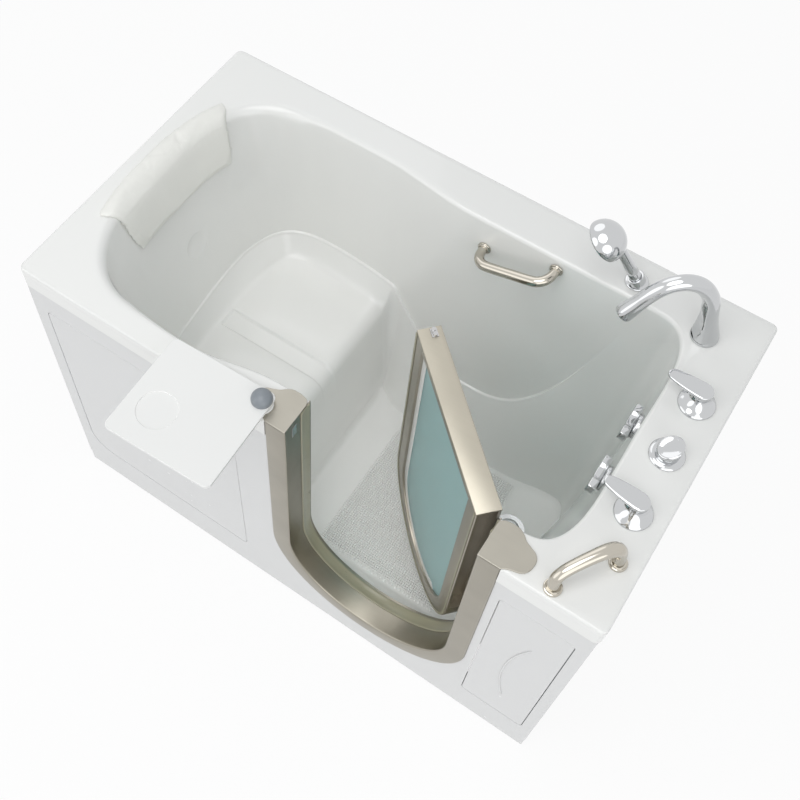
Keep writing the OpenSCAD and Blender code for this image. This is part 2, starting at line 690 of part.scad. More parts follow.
module door_seal() {
  color("darkkhaki") swing() difference() {
    doorway(door_rim_r - seal_in, door_y0 - seat - seal_t, door_y0 - seat, top_rail_z);
    doorway(door_rim_r - seal_in - seal_w, door_y0 - seat - seal_t - 1, door_y0 + 1, tub_h);
  }
}
module knuckle(z, h) { translate([hinge_at[0], hinge_at[1], z]) ring(knuckle_r, hinge_pin_d / 2 + pin_fit, h); }
module door_hinge_leaves() {
  color("silver") swing() for (z = hinge_zs) {
    knuckle(z + knuckle_h, knuckle_h);
    box([hinge_at[0] - leaf_w, door_y1 + seat, z],
      [hinge_at[0] - knuckle_r - leaf_gap, door_y1 + seat + leaf_t, z + hinge_h]);
    box([hinge_at[0] - knuckle_r - leaf_gap - sliver, door_y1 + seat, z + knuckle_h],
      [hinge_at[0] - knuckle_r + 2, door_y1 + seat + leaf_t, z + 2 * knuckle_h]);
  }
}
module jamb_hinge_leaves() {
  leaf_y = hinge_at[1] - knuckle_r - 2.5;
  color("silver") for (z = hinge_zs) {
    for (k = [0, 2]) {
      knuckle(z + k * (knuckle_h + seat / 2) - (k == 0 ? seat : 0), knuckle_h);
      box([hinge_at[0] + 1.5, leaf_y, z + k * knuckle_h],
        [hinge_at[0] + knuckle_r - leaf_gap, hinge_at[1] - 4.2, z + (k + 1) * knuckle_h - seat]);
    }
    box([hinge_at[0] + 1.5, leaf_y, z], [hinge_at[0] + 22, leaf_y + leaf_t - 1, z + hinge_h - seat]);
  }
}
pin_over = 3;
module hinge_pins() {
  color("gray") for (z = hinge_zs) translate([hinge_at[0], hinge_at[1], z - pin_over])
    cylinder(d = hinge_pin_d, h = hinge_h + 2 * pin_over);
}
module latch_case() {
  color("silver") swing() difference() {
    latch_block(0, tub_h + case_up);
    translate([latch_x, latch_y, tub_h - 10]) cylinder(r = latch_pin_r + pin_fit, h = 20);
  }
}
module latch_thumb() {
  z = tub_h + case_up + pin_fit;
  color("silver") swing() translate([latch_x, latch_y, 0]) {
    translate([0, 0, tub_h - 9]) cylinder(r = latch_pin_r, h = z + 1 - tub_h + 9);
    translate([-thumb_l / 2, -thumb_w / 2, z]) cube([thumb_l, thumb_w, thumb_t]);
    for (x = [-thumb_l / 2, thumb_l / 2]) translate([x, 0, z]) cylinder(r = thumb_end_r, h = thumb_end_h);
  }
}
module latch_strike() {
  x = door_x - door_r + seat;
  color("silver") box([x, door_y0 - 22, tub_h - 50], [x + 1, door_y0 - 7, tub_h - 15]);
}

// Headrest pad: follows the shell over the rim and down the backrest, crowned on its outer side.
pad_middle = fan_n / 2 + 0.5;   // the station at the pad's middle
pad_span = 5;                   // stations that its width is measured over
pad_half = pad_w / 2 * pad_span
  / norm(head_station(pad_middle + pad_span / 2, 0)[0] - head_station(pad_middle - pad_span / 2, 0)[0]);
pad_steps = 20;
pad_gap = 0.6;
pad_wall_gap = 2.2;             // room for the facets of the shell's wall
pad_edge = 3;
pad_back = 19;
pad_wall = [for (i = [1:4]) i / 4];
lean_n = [1, back_lean] / norm([1, back_lean]);
pad_path = concat(
  [[-pad_back, tub_h, 0, 1, pad_gap]],
  [for (a = roll_steps) [head_roll * sin(a), tub_h - head_roll * (1 - cos(a)), sin(a), cos(a), pad_gap]],
  [for (u = pad_wall) let(drop = u * (pad_drop - head_roll))
    [head_roll + drop * back_lean, tub_h - head_roll - drop, lean_n[0], lean_n[1], pad_wall_gap]]);
function crown(q) = sqrt(max(0, 1 - pow(abs(q), 4)));
function head_point(s, d) =
  let(i = floor(s), f = s - i, a = head_station(i, 0), b = head_station(i + 1, 0),
      hub = [head_x, spine_y], ea = (hub - a[0]) / norm(hub - a[0]), eb = (hub - b[0]) / norm(hub - b[0]))
  mix(a[0] + ea * d, b[0] + eb * d, f);
module headrest() {
  n = pad_steps;
  k = len(pad_path);
  loops = [for (c = [0:n]) let(v = 2 * c / n - 1, s = pad_middle + v * pad_half) concat(
    [for (q = pad_path) let(at = head_point(s, q[0] + q[2] * q[4])) [at[0], at[1], q[1] + q[3] * q[4]]],
    [for (m = [k - 1:-1:0]) let(q = pad_path[m],
        t = q[4] + pad_edge + (pad_t - pad_edge) * crown(2 * m / (k - 1) - 1) * crown(v),
        at = head_point(s, q[0] + q[2] * t)) [at[0], at[1], q[1] + q[3] * t]])];
  m2 = 2 * k;
  points = [for (l = loops) each l];
  faces = concat(
    [for (c = [0:n - 1], j = [0:m2 - 1]) let(a = c * m2 + j, b = c * m2 + (j + 1) % m2) each
      [[a, b, b + m2], [a, b + m2, a + m2]]],
    [for (j = [0:k - 2]) each [[j, m2 - 1 - j, m2 - 2 - j], [j, m2 - 2 - j, j + 1]]],
    [for (j = [0:k - 2]) let(o = n * m2) each
      [[o + j, o + m2 - 2 - j, o + m2 - 1 - j], [o + j, o + j + 1, o + m2 - 2 - j]]]);
  color("ivory") polyhedron(points = points, faces = faces, convexity = 4);
}

// Swivelling tray beside the doorway, on a post through the deck.
tray_turn = 2;
tray_z = tub_h + tray_rise - tray_t;
tray_corner = 26;
tray_over = [20, 23];       // how far the tray reaches past its pivot
tray_reach = [tray_over[0] - tray_l, tray_over[1] - tray_w];
recess_at = [86, 112];
recess_r = 40;
recess_t = 2;
spindle_r = 6;
tray_spindle_up = 38;
spindle_top = tub_h + tray_spindle_up;
post_r = 15;
post_foot_r = 22;
post_foot_t = 4;
tray_knob_z = tub_h + tray_rise + seat;
module at_tray() { translate([tray_at[0], tray_at[1], 0]) rotate([0, 0, tray_turn]) children(); }
module tray() {
  color("white") at_tray() difference() {
    translate([0, 0, tray_z]) linear_extrude(tray_t) rounded_rect(tray_reach, tray_over, tray_corner);
    translate([0, 0, tray_z - 1]) cylinder(r = spindle_r + seat, h = tray_t + 2);
    place([tray_reach[0] + recess_at[0], tray_reach[1] + recess_at[1], tray_z + tray_t - recess_t])
      cylinder(r = recess_r, h = recess_t + 1);
  }
}
module tray_pivot() {
  color("white") place(tray_at) {
    translate([0, 0, tub_h + cap_t + 2 * seat]) cylinder(r = post_foot_r, h = post_foot_t);
    translate([0, 0, tub_h + cap_t + 2 * seat]) cylinder(r = post_r, h = tray_rise - tray_t - cap_t - 3 * seat);
    translate([0, 0, tub_h + cap_t]) cylinder(r = spindle_r, h = spindle_top - tub_h - cap_t);
    translate([0, 0, under_z - tray_stem_l]) cylinder(r = tray_stem_r, h = tray_stem_l + shell_t + cap_t + 3 * seat);
  }
}
module tray_knob() {
  dome = arc([0, 0], tray_knob_d / 2, 0, 78, 8);
  color("slategray") place([tray_at[0], tray_at[1], tray_knob_z]) difference() {
    union() {
      cylinder(d = tray_knob_d, h = 4);
      translate([0, 0, 4]) rotate_extrude() polygon(concat([[0, -sliver]], [[tray_knob_d / 2, -sliver]],
        [for (p = dome) [p[0], p[1] * 0.86]], [[0, 18]]));
    }
    translate([0, 0, -1]) cylinder(r = spindle_r + pin_fit, h = spindle_top - tray_knob_z + 1.5);
  }
}

// Grab bars: legs, two bends and a straight top.
module bar_arch(length, height, r, bend_r, flange_r, flange_t) {
  for (side = [0, 1]) translate([side * length, 0, 0]) scale([1 - 2 * side, 1, 1]) {
    cylinder(r = flange_r, h = flange_t);
    translate([0, 0, flange_t - sliver]) cylinder(r1 = flange_r - 2, r2 = r, h = 5);
    cylinder(r = r, h = height - bend_r + sliver);
    translate([bend_r, 0, height - bend_r]) rotate([90, 0, 0]) rotate([0, 0, 90]) rotate_extrude(angle = 90)
      translate([bend_r, 0]) circle(r);
  }
  if (length > 2 * bend_r + 1)
    translate([bend_r - sliver, 0, height]) rotate([0, 90, 0]) cylinder(r = r, h = length - 2 * bend_r + 2 * sliver);
}
deck_bar_h = 56;
deck_bar_lean = 10;
deck_bar_bend = 44;
flange_t = 5;
flange_wide = 5;
deck_bolt_l = 34;
wall_bolt_l = 26;
module deck_grab_bar() {
  color("silver") translate([deck_bar_at[0], deck_bar_at[1], tub_h]) rotate([0, 0, deck_bar_turn]) {
    translate([0, 0, flange_t + seat]) rotate([-deck_bar_lean, 0, 0])
      bar_arch(deck_bar_l, deck_bar_h, deck_bar_d / 2, deck_bar_bend, deck_bar_d / 2 + 1, 1);
    for (x = [0, deck_bar_l]) translate([x, 0, 0]) {
      translate([0, 0, seat]) cylinder(r = deck_bar_d / 2 + flange_wide, h = flange_t + 3);
      translate([0, 0, -deck_bolt_l]) cylinder(r = bolt_r, h = deck_bolt_l + 2);
    }
  }
}
wall_bar_bend = 20;
module wall_grab_bar() {
  color("silver") translate([wall_bar_a[0], wall_bar_y, wall_bar_a[2]])
    rotate([0, -wall_bar_tilt, 0]) rotate([90, 0, 0]) {
    bar_arch(wall_bar_l, wall_bar_out, wall_bar_d / 2, wall_bar_bend, wall_flange_r, 4);
    for (x = [0, wall_bar_l]) translate([x, 0, -wall_bolt_l]) cylinder(r = bolt_r, h = wall_bolt_l + 2);
  }
}

// Nuts that hold the deck fittings and the wall bar from behind.
shank_nut_t = 8;
bolt_nut_t = 6;
drain_nut_over = 10;
bolt_nut_af = 16;
shank_nut_over = 14;        // how far a shank nut is wider across flats than its shank
module deck_nut(at, bore, af, t) { translate([at[0], at[1], under_z - seat - t]) hex_nut(af, bore + seat, t); }
module fixing_nuts() {
  color("goldenrod") {
    for (p = [hot_at, diverter_at, cold_at]) deck_nut(p, valve_r, 2 * valve_r + shank_nut_over, shank_nut_t);
    deck_nut(spout_at, spout_shank_r, 2 * spout_shank_r + shank_nut_over, shank_nut_t);
    deck_nut(holder_at, holder_shank_r, 2 * holder_shank_r + shank_nut_over, shank_nut_t);
    deck_nut(tray_at, tray_stem_r, 2 * tray_stem_r + shank_nut_over, shank_nut_t);
    for (p = deck_bar_feet) deck_nut(p, bolt_r, bolt_nut_af, bolt_nut_t);
    for (p = wall_bar_ends) translate([p[0], back_wall_y(p[2] + 12) + shell_t + 1.2, p[2]]) rotate([-90, 0, 0])
      hex_nut(bolt_nut_af, bolt_r + seat, bolt_nut_t);
    for (y = drain_rows) translate([drain_x, y, floor_z - shell_t - seat - shank_nut_t])
      ring(drain_hole_r + drain_nut_over, drain_hole_r + seat, shank_nut_t);
  }
}

// Spout: a column, an arch and a flared tip.
arch_r = spout_arch / 2;
spout_h = 105;
spout_foot_t = 6;
spout_thread = 60;
tip_angle = 25;
tip_l = 60;
tip_wall = 4;
tip_bore = 14;
collar = 0.5;
column_top_r = 20;
module at_tip() {
  translate([arch_r * (1 + cos(tip_angle)), 0, spout_h + arch_r * sin(tip_angle)])
    rotate([0, 180 - tip_angle, 0]) children();
}
module spout() {
  r = spout_d / 2;
  tip_r = spout_tip_d / 2;
  color("gainsboro") translate([spout_at[0], spout_at[1], tub_h]) rotate([0, 0, spout_turn]) difference() {
    union() {
      translate([0, 0, seat]) cylinder(r = spout_foot_d / 2, h = spout_foot_t);
      translate([0, 0, spout_foot_t]) cylinder(r1 = spout_foot_d / 2 - 2, r2 = column_top_r, h = spout_h / 2);
      translate([0, 0, spout_foot_t + spout_h / 2 - sliver])
        cylinder(r1 = column_top_r, r2 = r + collar, h = spout_h / 2 - spout_foot_t);
      translate([0, 0, spout_h - 1]) cylinder(r = r + collar, h = 3);
      translate([arch_r, 0, spout_h]) rotate([90, 0, 0]) rotate([0, 0, tip_angle])
        rotate_extrude(angle = 180 - tip_angle) translate([arch_r, 0]) circle(r);
      at_tip() translate([0, 0, -1]) cylinder(r1 = r + collar, r2 = tip_r, h = tip_l / 2 + 1 + sliver);
      at_tip() translate([0, 0, tip_l / 2]) cylinder(r = tip_r, h = tip_l / 2);
      translate([0, 0, -spout_thread]) cylinder(r = spout_shank_r, h = spout_thread + 2);
    }
    at_tip() translate([0, 0, tip_l - tip_bore]) cylinder(r = tip_r - tip_wall, h = tip_bore + 2);
  }
}

// Hand shower, leaning in the cup of its holder.
cup_out = 15;
cup_up = 28;
cup_at = [holder_at[0], holder_at[1] - cup_out, tub_h + cup_up];
shower_turn = 208;
shower_lean = 30;
cup_wall = 4;
cup_h = 18;
holder_base_r = 24;
holder_base_t = 5;
holder_post_r = 9;
holder_thread = 40;
grip_l = 132;
grip_r = grip_d / 2;
grip_low = 14;
grip_taper = 3;
head_up = 148;
head_nod = 20;
head_back = 20;
head_deep = 16;
head_rim = 8;
face_t = 2.5;
module at_cup() { translate(cup_at) rotate([0, 0, shower_turn]) rotate([0, shower_lean, 0]) children(); }
module at_head() { translate([0, 0, head_up]) rotate([0, head_nod, 0]) rotate([0, 90, 0]) children(); }
module shower_holder() {
  color("gainsboro") difference() {
    union() {
      place([holder_at[0], holder_at[1], tub_h + seat]) cylinder(r = holder_base_r, h = holder_base_t);
      place([holder_at[0], holder_at[1], tub_h + 4]) cylinder(r = holder_post_r, h = cup_up - 2);
      translate([holder_at[0], holder_at[1], tub_h + cup_up - 3]) rotate([90, 0, 0])
        cylinder(r = holder_post_r - 3, h = 10);
      place([holder_at[0], holder_at[1], under_z - holder_thread])
        cylinder(r = holder_shank_r, h = holder_thread + shell_t + 2);
      at_cup() translate([0, 0, -cup_h / 2]) cylinder(r = grip_r + seat + cup_wall, h = cup_h);
    }
    at_cup() translate([0, 0, -grip_low - 2]) cylinder(r = grip_r + seat, h = cup_h + grip_low + 8);
  }
}
module hand_shower() {
  color("gainsboro") at_cup() {
    translate([0, 0, -grip_low]) cylinder(r = grip_r, h = 40);
    translate([0, 0, 40 - grip_low - sliver]) cylinder(r1 = grip_r, r2 = grip_r - grip_taper, h = grip_l - 40 + grip_low);
    at_head() rotate_extrude() polygon(concat([for (t = [0:10:90])
      [head_d / 2 * sin(t), head_deep - (head_deep + head_back) * cos(t)]],
      [[head_d / 2, head_deep + head_rim], [0, head_deep + head_rim]]));
  }
}
module shower_face() {
  color("gray") at_cup() at_head() translate([0, 0, head_deep + head_rim + seat])
    cylinder(r = head_d / 2 - 5, h = face_t);
}

// Tap valves, levers and the diverter.
dome_h = 32;
dome_edge = 4;
dome_top_r = 12;
dome = concat([[0, 0], [tap_base_d / 2, 0]], arc([tap_base_d / 2 - dome_edge, dome_edge], dome_edge, 0, 60, 3),
  [[dome_top_r, dome_h], [0, dome_h]]);
spindle_up = 12;
tap_spindle_r = 7;
body_drop = 44;
body_top = under_z - body_drop;
body_h = 45;
body_r = 21;
module valve_body(at) {
  place(at) {
    translate([0, 0, body_top - sliver]) cylinder(r = valve_r, h = tub_h + 2 - body_top);
    translate([0, 0, body_top - body_h]) cylinder(r = body_r, h = body_h);
  }
}
module lever_valve(at) {
  color("gainsboro") {
    valve_body(at);
    place([at[0], at[1], tub_h + seat]) rotate_extrude() polygon(dome);
    place([at[0], at[1], tub_h + dome_h - 1]) cylinder(r = tap_spindle_r, h = spindle_up + 1);
  }
}
blade_w = 26;
blade_t = 9;
blade_up = 8;
hub_r = 18;
hub_h = 20;
hot_turn = 176;
cold_turn = 173;
module lever(at, turn) {
  color("gainsboro") place([at[0], at[1], tub_h + dome_h + 2 * seat]) rotate([0, 0, turn]) difference() {
    union() {
      cylinder(r1 = hub_r, r2 = hub_r - 2, h = hub_h);
      translate([0, -blade_w / 2, blade_up]) cube([blade_l - blade_w / 2, blade_w, blade_t]);
      translate([blade_l - blade_w / 2, 0, blade_up]) cylinder(d = blade_w, h = blade_t);
    }
    translate([0, 0, -1]) cylinder(r = tap_spindle_r + pin_fit, h = spindle_up + 2);
  }
}
module hot_valve() { lever_valve(hot_at); }
module cold_valve() { lever_valve(cold_at); }
module hot_handle() { lever(hot_at, hot_turn); }
module cold_handle() { lever(cold_at, cold_turn); }
diverter_foot = 8;
diverter_h = 48;
diverter_cut = 28;          // slope of the knob's top, in degrees
diverter_low = 26;
diverter_spindle_r = 8;
module diverter_valve() {
  color("gainsboro") {
    valve_body(diverter_at);
    place([diverter_at[0], diverter_at[1], tub_h + seat])
      cylinder(r1 = diverter_base_d / 2, r2 = diverter_base_d / 2 - 4, h = diverter_foot);
    place([diverter_at[0], diverter_at[1], tub_h + diverter_foot]) cylinder(r = diverter_spindle_r, h = spindle_up + 2);
  }
}
module diverter_knob() {
  color("gainsboro") place([diverter_at[0], diverter_at[1], tub_h + diverter_foot + 2 * seat]) difference() {
    cylinder(d = diverter_d, h = diverter_h);
    translate([0, 0, -1]) cylinder(r = diverter_spindle_r + pin_fit, h = spindle_up + 4);
    translate([-diverter_d / 2, 0, diverter_h - diverter_low]) rotate([0, -diverter_cut, 0])
      translate([-diverter_d, -diverter_d, 0]) cube([3 * diverter_d, 2 * diverter_d, 2 * diverter_h]);
  }
}
tube_r = 7.5;
inlet_drop = 330;           // depth of the supply tubes' ends below the deck
coupling_up = 40;
coupling_h = 24;
lane_out = 33;
module supply_tubes() {
  z = body_top - body_h / 2;
  low = tub_h - inlet_drop;
  lane_x = tap_row_x + lane_out;
  reach = body_r + seat;
  elbow = tube_r + 1.5;
  color("peru") {
    for (span = [[diverter_at, hot_at], [cold_at, diverter_at]])
      translate([tap_row_x, span[0][1] + reach, z]) rotate([-90, 0, 0])
        cylinder(r = tube_r, h = span[1][1] - span[0][1] - 2 * reach);
    for (p = [hot_at, cold_at]) {
      place([p[0], p[1], low]) cylinder(r = tube_r, h = body_top - body_h - seat - low);
      place([p[0], p[1], low + coupling_up]) cylinder(r = tube_r + 5, h = coupling_h, $fn = 6);
    }
    translate([tap_row_x + reach, diverter_at[1], z]) rotate([0, 90, 0])
      cylinder(r = tube_r, h = lane_x - tap_row_x - reach);
    translate([lane_x, diverter_at[1], z]) sphere(r = elbow);
    translate([lane_x, diverter_at[1], z]) rotate([-90, 0, 0]) cylinder(r = tube_r, h = spout_at[1] - diverter_at[1]);
    translate([lane_x, spout_at[1], z]) sphere(r = elbow);
    translate([spout_at[0], spout_at[1], z]) rotate([0, 90, 0]) cylinder(r = tube_r, h = lane_x - spout_at[0]);
    translate([spout_at[0], spout_at[1], z]) sphere(r = elbow);
    translate([spout_at[0], spout_at[1], z]) cylinder(r = tube_r, h = tub_h - spout_thread - seat - z);
  }
}

// Drains with lifting plugs, worked by the overflow knobs, and their waste pipes.
plate_t = 6;
plate_r = 27;
knob_t = 12;
knob_lobe_r = 13;
knob_hub_r = 14;
knob_arm_w = 18;
knob_spindle_r = 5;
knob_spindle_l = 9;
ring_h = 3;
bore_in = 4;                // how far the drain's bore is smaller than its shank
flange_depth = 30;
spider_w = 5;
spider_drop = 12;
guide_r = 7;
guide_h = 8;
plug_stem_r = 3;
plug_r = 29;
plug_t = 5;
socket_wall = 4;
pipe_wall = 3;
outlet_z = 6;
outlet_l = 20;
outlet_rim = 1.5;
module at_overflow(y) {
  translate([overflow_wall_x - seat, y, overflow_z]) rotate([0, 90 + overflow_tilt, 0]) children();
}
module overflow_plates() {
  color("gainsboro") for (y = overflow_rows) at_overflow(y) {
    translate([0, 0, -plate_t]) cylinder(r = plate_r, h = plate_t);
    translate([0, 0, -sliver]) cylinder(r = overflow_r - 4, h = shell_t);
    translate([0, 0, -plate_t - knob_spindle_l]) cylinder(r = knob_spindle_r, h = knob_spindle_l + 1);
  }
}
module overflow_knob(y) {
  arm = overflow_w / 2 - knob_lobe_r;
  color("gainsboro") at_overflow(y) translate([0, 0, -plate_t - 1 - knob_t]) difference() {
    union() {
      cylinder(r = knob_hub_r, h = knob_t);
      for (side = [-1, 1]) translate([0, side * arm, 0]) cylinder(r = knob_lobe_r, h = knob_t);
      translate([-knob_arm_w / 2, -arm, 1]) cube([knob_arm_w, 2 * arm, knob_t - 2]);
    }
    translate([0, 0, knob_t - knob_spindle_l]) cylinder(r = knob_spindle_r + pin_fit, h = 2 * knob_spindle_l);
  }
}
module rear_overflow_knob() { overflow_knob(overflow_rows[0]); }
module front_overflow_knob() { overflow_knob(overflow_rows[1]); }
module drain_flanges() {
  bore = drain_hole_r - bore_in;
  color("gainsboro") for (y = drain_rows) place([drain_x, y]) {
    translate([0, 0, floor_z + seat]) ring(drain_d / 2, bore, ring_h);
    translate([0, 0, floor_z - flange_depth]) ring(drain_hole_r, bore, flange_depth + 1);
    translate([0, 0, floor_z - spider_drop]) difference() {
      union() {
        for (a = [0, 60, 120]) rotate([0, 0, a]) translate([-bore - 1, -spider_w / 2, 0])
          cube([2 * bore + 2, spider_w, guide_h - 2]);
        cylinder(r = guide_r, h = guide_h);
      }
      translate([0, 0, -1]) cylinder(r = plug_stem_r + pin_fit, h = guide_h + 2);
    }
  }
}
stem_l = spider_drop + plug_lift + 2;
module drain_plug(y) {
  color("silver") place([drain_x, y]) {
    translate([0, 0, floor_z + ring_h + 2 * seat]) cylinder(r1 = plug_r, r2 = plug_r - 3, h = plug_t);
    translate([0, 0, floor_z - stem_l]) cylinder(r = plug_stem_r, h = stem_l + ring_h + 1);
  }
}
module rear_drain_plug() { drain_plug(drain_rows[0]); }
module front_drain_plug() { drain_plug(drain_rows[1]); }
module waste_pipe(drain_y, overflow_y) {
  r = pipe_d / 2;
  socket_r = drain_hole_r + socket_wall;
  socket_z = floor_z - flange_depth - 9;
  elbow_x0 = overflow_wall_x + shell_t + overflow_r * tap_slope + 1;
  color("lightgray") difference() {
    union() {
      translate([drain_x, drain_y, socket_z]) cylinder(r = socket_r, h = 20);
      translate([drain_x, drain_y, pipe_z]) cylinder(r = r, h = socket_z - pipe_z + sliver);
      translate([drain_x, drain_y, pipe_z]) sphere(r = r);
      translate([drain_x, drain_y, pipe_z]) rotate([0, 90, 0]) cylinder(r = r, h = downpipe_x - drain_x);
      translate([downpipe_x, drain_y, pipe_z]) sphere(r = r);
      translate([downpipe_x, min(drain_y, overflow_y), pipe_z]) rotate([-90, 0, 0])
        cylinder(r = r, h = abs(drain_y - overflow_y));
      translate([downpipe_x, overflow_y, pipe_z]) sphere(r = r);
      translate([downpipe_x, overflow_y, outlet_z]) cylinder(r = r, h = overflow_z - outlet_z);
      translate([downpipe_x, overflow_y, outlet_z]) cylinder(r = r + outlet_rim, h = outlet_l);
      translate([downpipe_x, overflow_y, overflow_z]) sphere(r = r);
      translate([elbow_x0, overflow_y, overflow_z]) rotate([0, 90, 0])
        cylinder(r = overflow_r, h = downpipe_x - elbow_x0);
    }
    translate([drain_x, drain_y, floor_z - flange_depth - seat]) cylinder(r = drain_hole_r + seat, h = flange_depth);
    translate([drain_x, drain_y, pipe_z]) cylinder(r = r - pipe_wall, h = floor_z - pipe_z);
    translate([downpipe_x, overflow_y, outlet_z - 1]) cylinder(r = r - pipe_wall, h = overflow_z - outlet_z - pipe_wall);
    translate([elbow_x0 - 1, overflow_y, overflow_z]) rotate([0, 90, 0])
      cylinder(r = overflow_r - pipe_wall, h = downpipe_x - elbow_x0 + 1);
  }
}
module rear_waste_pipe() { waste_pipe(drain_rows[0], overflow_rows[0]); }
module front_waste_pipe() { waste_pipe(drain_rows[1], overflow_rows[1]); }

tub_shell();
front_apron();
left_access_panel();
right_access_panel();
panel_catches();
front_rail();
rear_rail();
left_rail();
right_rail();
head_rail();
seat_rail();
middle_rail();
drain_rail();
corner_posts();
seat_bearer();
seat_legs();
floor_board();
levelling_feet();
foot_lock_nuts();
door_jamb();
left_jamb_cap();
right_jamb_cap();
jamb_gasket();
latch_strike();
jamb_hinge_leaves();
hinge_pins();
door_hinge_leaves();
door_frame();
door_top_rail();
door_glass();
glass_border();
door_seal();
latch_case();
latch_thumb();
headrest();
tray();
tray_knob();
tray_pivot();
wall_grab_bar();
deck_grab_bar();
fixing_nuts();
spout();
shower_holder();
hand_shower();
shower_face();
hot_handle();
hot_valve();
cold_handle();
cold_valve();
diverter_knob();
diverter_valve();
supply_tubes();
rear_overflow_knob();
front_overflow_knob();
overflow_plates();
rear_drain_plug();
front_drain_plug();
drain_flanges();
rear_waste_pipe();
front_waste_pipe();
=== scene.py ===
# Walk-in bathtub: a moulded tub with a seat, a steel doorway whose door swings inwards,
# a headrest pad, a swivelling tray, grab bars and deck-mounted taps. Metres, in the CAD's frame.
import json
import math

import bmesh
import bpy
import numpy as np
from mathutils import Matrix, Vector
from mathutils.bvhtree import BVHTree


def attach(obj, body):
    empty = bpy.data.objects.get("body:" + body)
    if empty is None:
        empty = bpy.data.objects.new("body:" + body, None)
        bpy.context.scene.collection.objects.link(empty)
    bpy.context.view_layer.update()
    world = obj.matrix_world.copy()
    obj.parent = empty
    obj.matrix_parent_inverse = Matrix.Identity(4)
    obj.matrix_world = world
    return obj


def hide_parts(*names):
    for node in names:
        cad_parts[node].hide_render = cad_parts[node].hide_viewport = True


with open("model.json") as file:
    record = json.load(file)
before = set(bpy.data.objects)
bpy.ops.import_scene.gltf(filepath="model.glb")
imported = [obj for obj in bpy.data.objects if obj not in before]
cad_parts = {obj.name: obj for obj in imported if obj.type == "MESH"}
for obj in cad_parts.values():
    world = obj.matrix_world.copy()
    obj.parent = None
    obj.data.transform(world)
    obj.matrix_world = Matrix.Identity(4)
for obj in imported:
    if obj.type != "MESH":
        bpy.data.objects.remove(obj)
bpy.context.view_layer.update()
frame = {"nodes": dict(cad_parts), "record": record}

# Studio
# The tub stands on a plain pale floor, under a large soft light overhead in front. A weaker one
# stands behind the seat end, and two more fill from the right and the left of the door side.
# The camera looks down on that side, as the photograph does.
scene = bpy.context.scene


def in_scene(name, data):
    """An object of the scene from a mesh, a lamp or a camera."""
    obj = bpy.data.objects.new(name, data)
    scene.collection.objects.link(obj)
    return obj


eye = Vector((0.5665, -1.0996, 2.7385))
look_right = Vector((0.825002, 0.56503, 0.010611))
look_down = Vector((0.487705, -0.702363, -0.518488))
look_ahead = Vector((-0.285508, 0.432929, -0.855019))
lens = bpy.data.cameras.new("camera")
lens.lens = 50.32
lens.sensor_width = 36.0
lens.shift_x = 0.092
lens.shift_y = -0.073
lens.clip_end = 60.0
camera = in_scene("camera", lens)
turn = Matrix((look_right, -look_down, -look_ahead)).transposed()
camera.matrix_world = Matrix.Translation(eye) @ turn.to_4x4()
scene.camera = camera
scene.view_settings.view_transform = "Standard"


def feed(node, sockets):
    """Sets a shader node's sockets to values, or links them to the outputs of other nodes."""
    for key, value in sockets.items():
        if isinstance(value, bpy.types.NodeSocket):
            node.id_data.links.new(value, node.inputs[key])
        else:
            node.inputs[key].default_value = value
    return node


def add(tree, kind, sockets=None, **settings):
    """A new shader node with its settings and its sockets."""
    node = tree.nodes.new("ShaderNode" + kind)
    for key, value in settings.items():
        setattr(node, key, value)
    return feed(node, sockets or {})


def seen_plainly(tree):
    """Light path node, and an output that is 1 where the camera sees a surface directly or mirrored."""
    ray = add(tree, "LightPath")
    seen = {0: ray.outputs["Is Camera Ray"], 1: ray.outputs["Is Glossy Ray"]}
    return ray, add(tree, "Math", seen, operation="MAXIMUM").outputs[0]


world = bpy.data.worlds.new("studio")
scene.world = world
world.use_nodes = True
sky = world.node_tree
ambient = feed(sky.nodes["Background"], {"Color": (0.94, 0.97, 1.0, 1), "Strength": 0.42})
backdrop = add(sky, "Background", {"Color": (1, 1, 1, 1), "Strength": 1.0})
ray, seen = seen_plainly(sky)
seen_too = add(sky, "Math", {0: seen, 1: ray.outputs["Is Transmission Ray"]}, operation="MAXIMUM")
choose = add(sky, "MixShader", {"Fac": seen_too.outputs[0], 1: ambient.outputs[0], 2: backdrop.outputs[0]})
feed(sky.nodes["World Output"], {"Surface": choose.outputs[0]})


def softbox(name, place, target, size, power):
    """A round soft light that faces a point."""
    light = bpy.data.lights.new(name, "AREA")
    light.shape = "DISK"
    light.size = size
    light.energy = power
    lamp = in_scene(name, light)
    lamp.location = place
    lamp.rotation_euler = (Vector(target) - Vector(place)).to_track_quat("-Z", "Y").to_euler()


softbox("key_light", (-2.5, 1.8, 3.4), (0, 0, 0.5), 3.4, 18)
softbox("overhead_light", (0.0, -1.3, 3.9), (0.1, 0, 0.4), 2.8, 42)
softbox("fill_light", (2.2, -2.2, 1.7), (0, 0, 0.5), 2.8, 20)
softbox("left_fill_light", (-1.8, -2.4, 1.9), (-0.3, 0, 0.5), 2.6, 13)


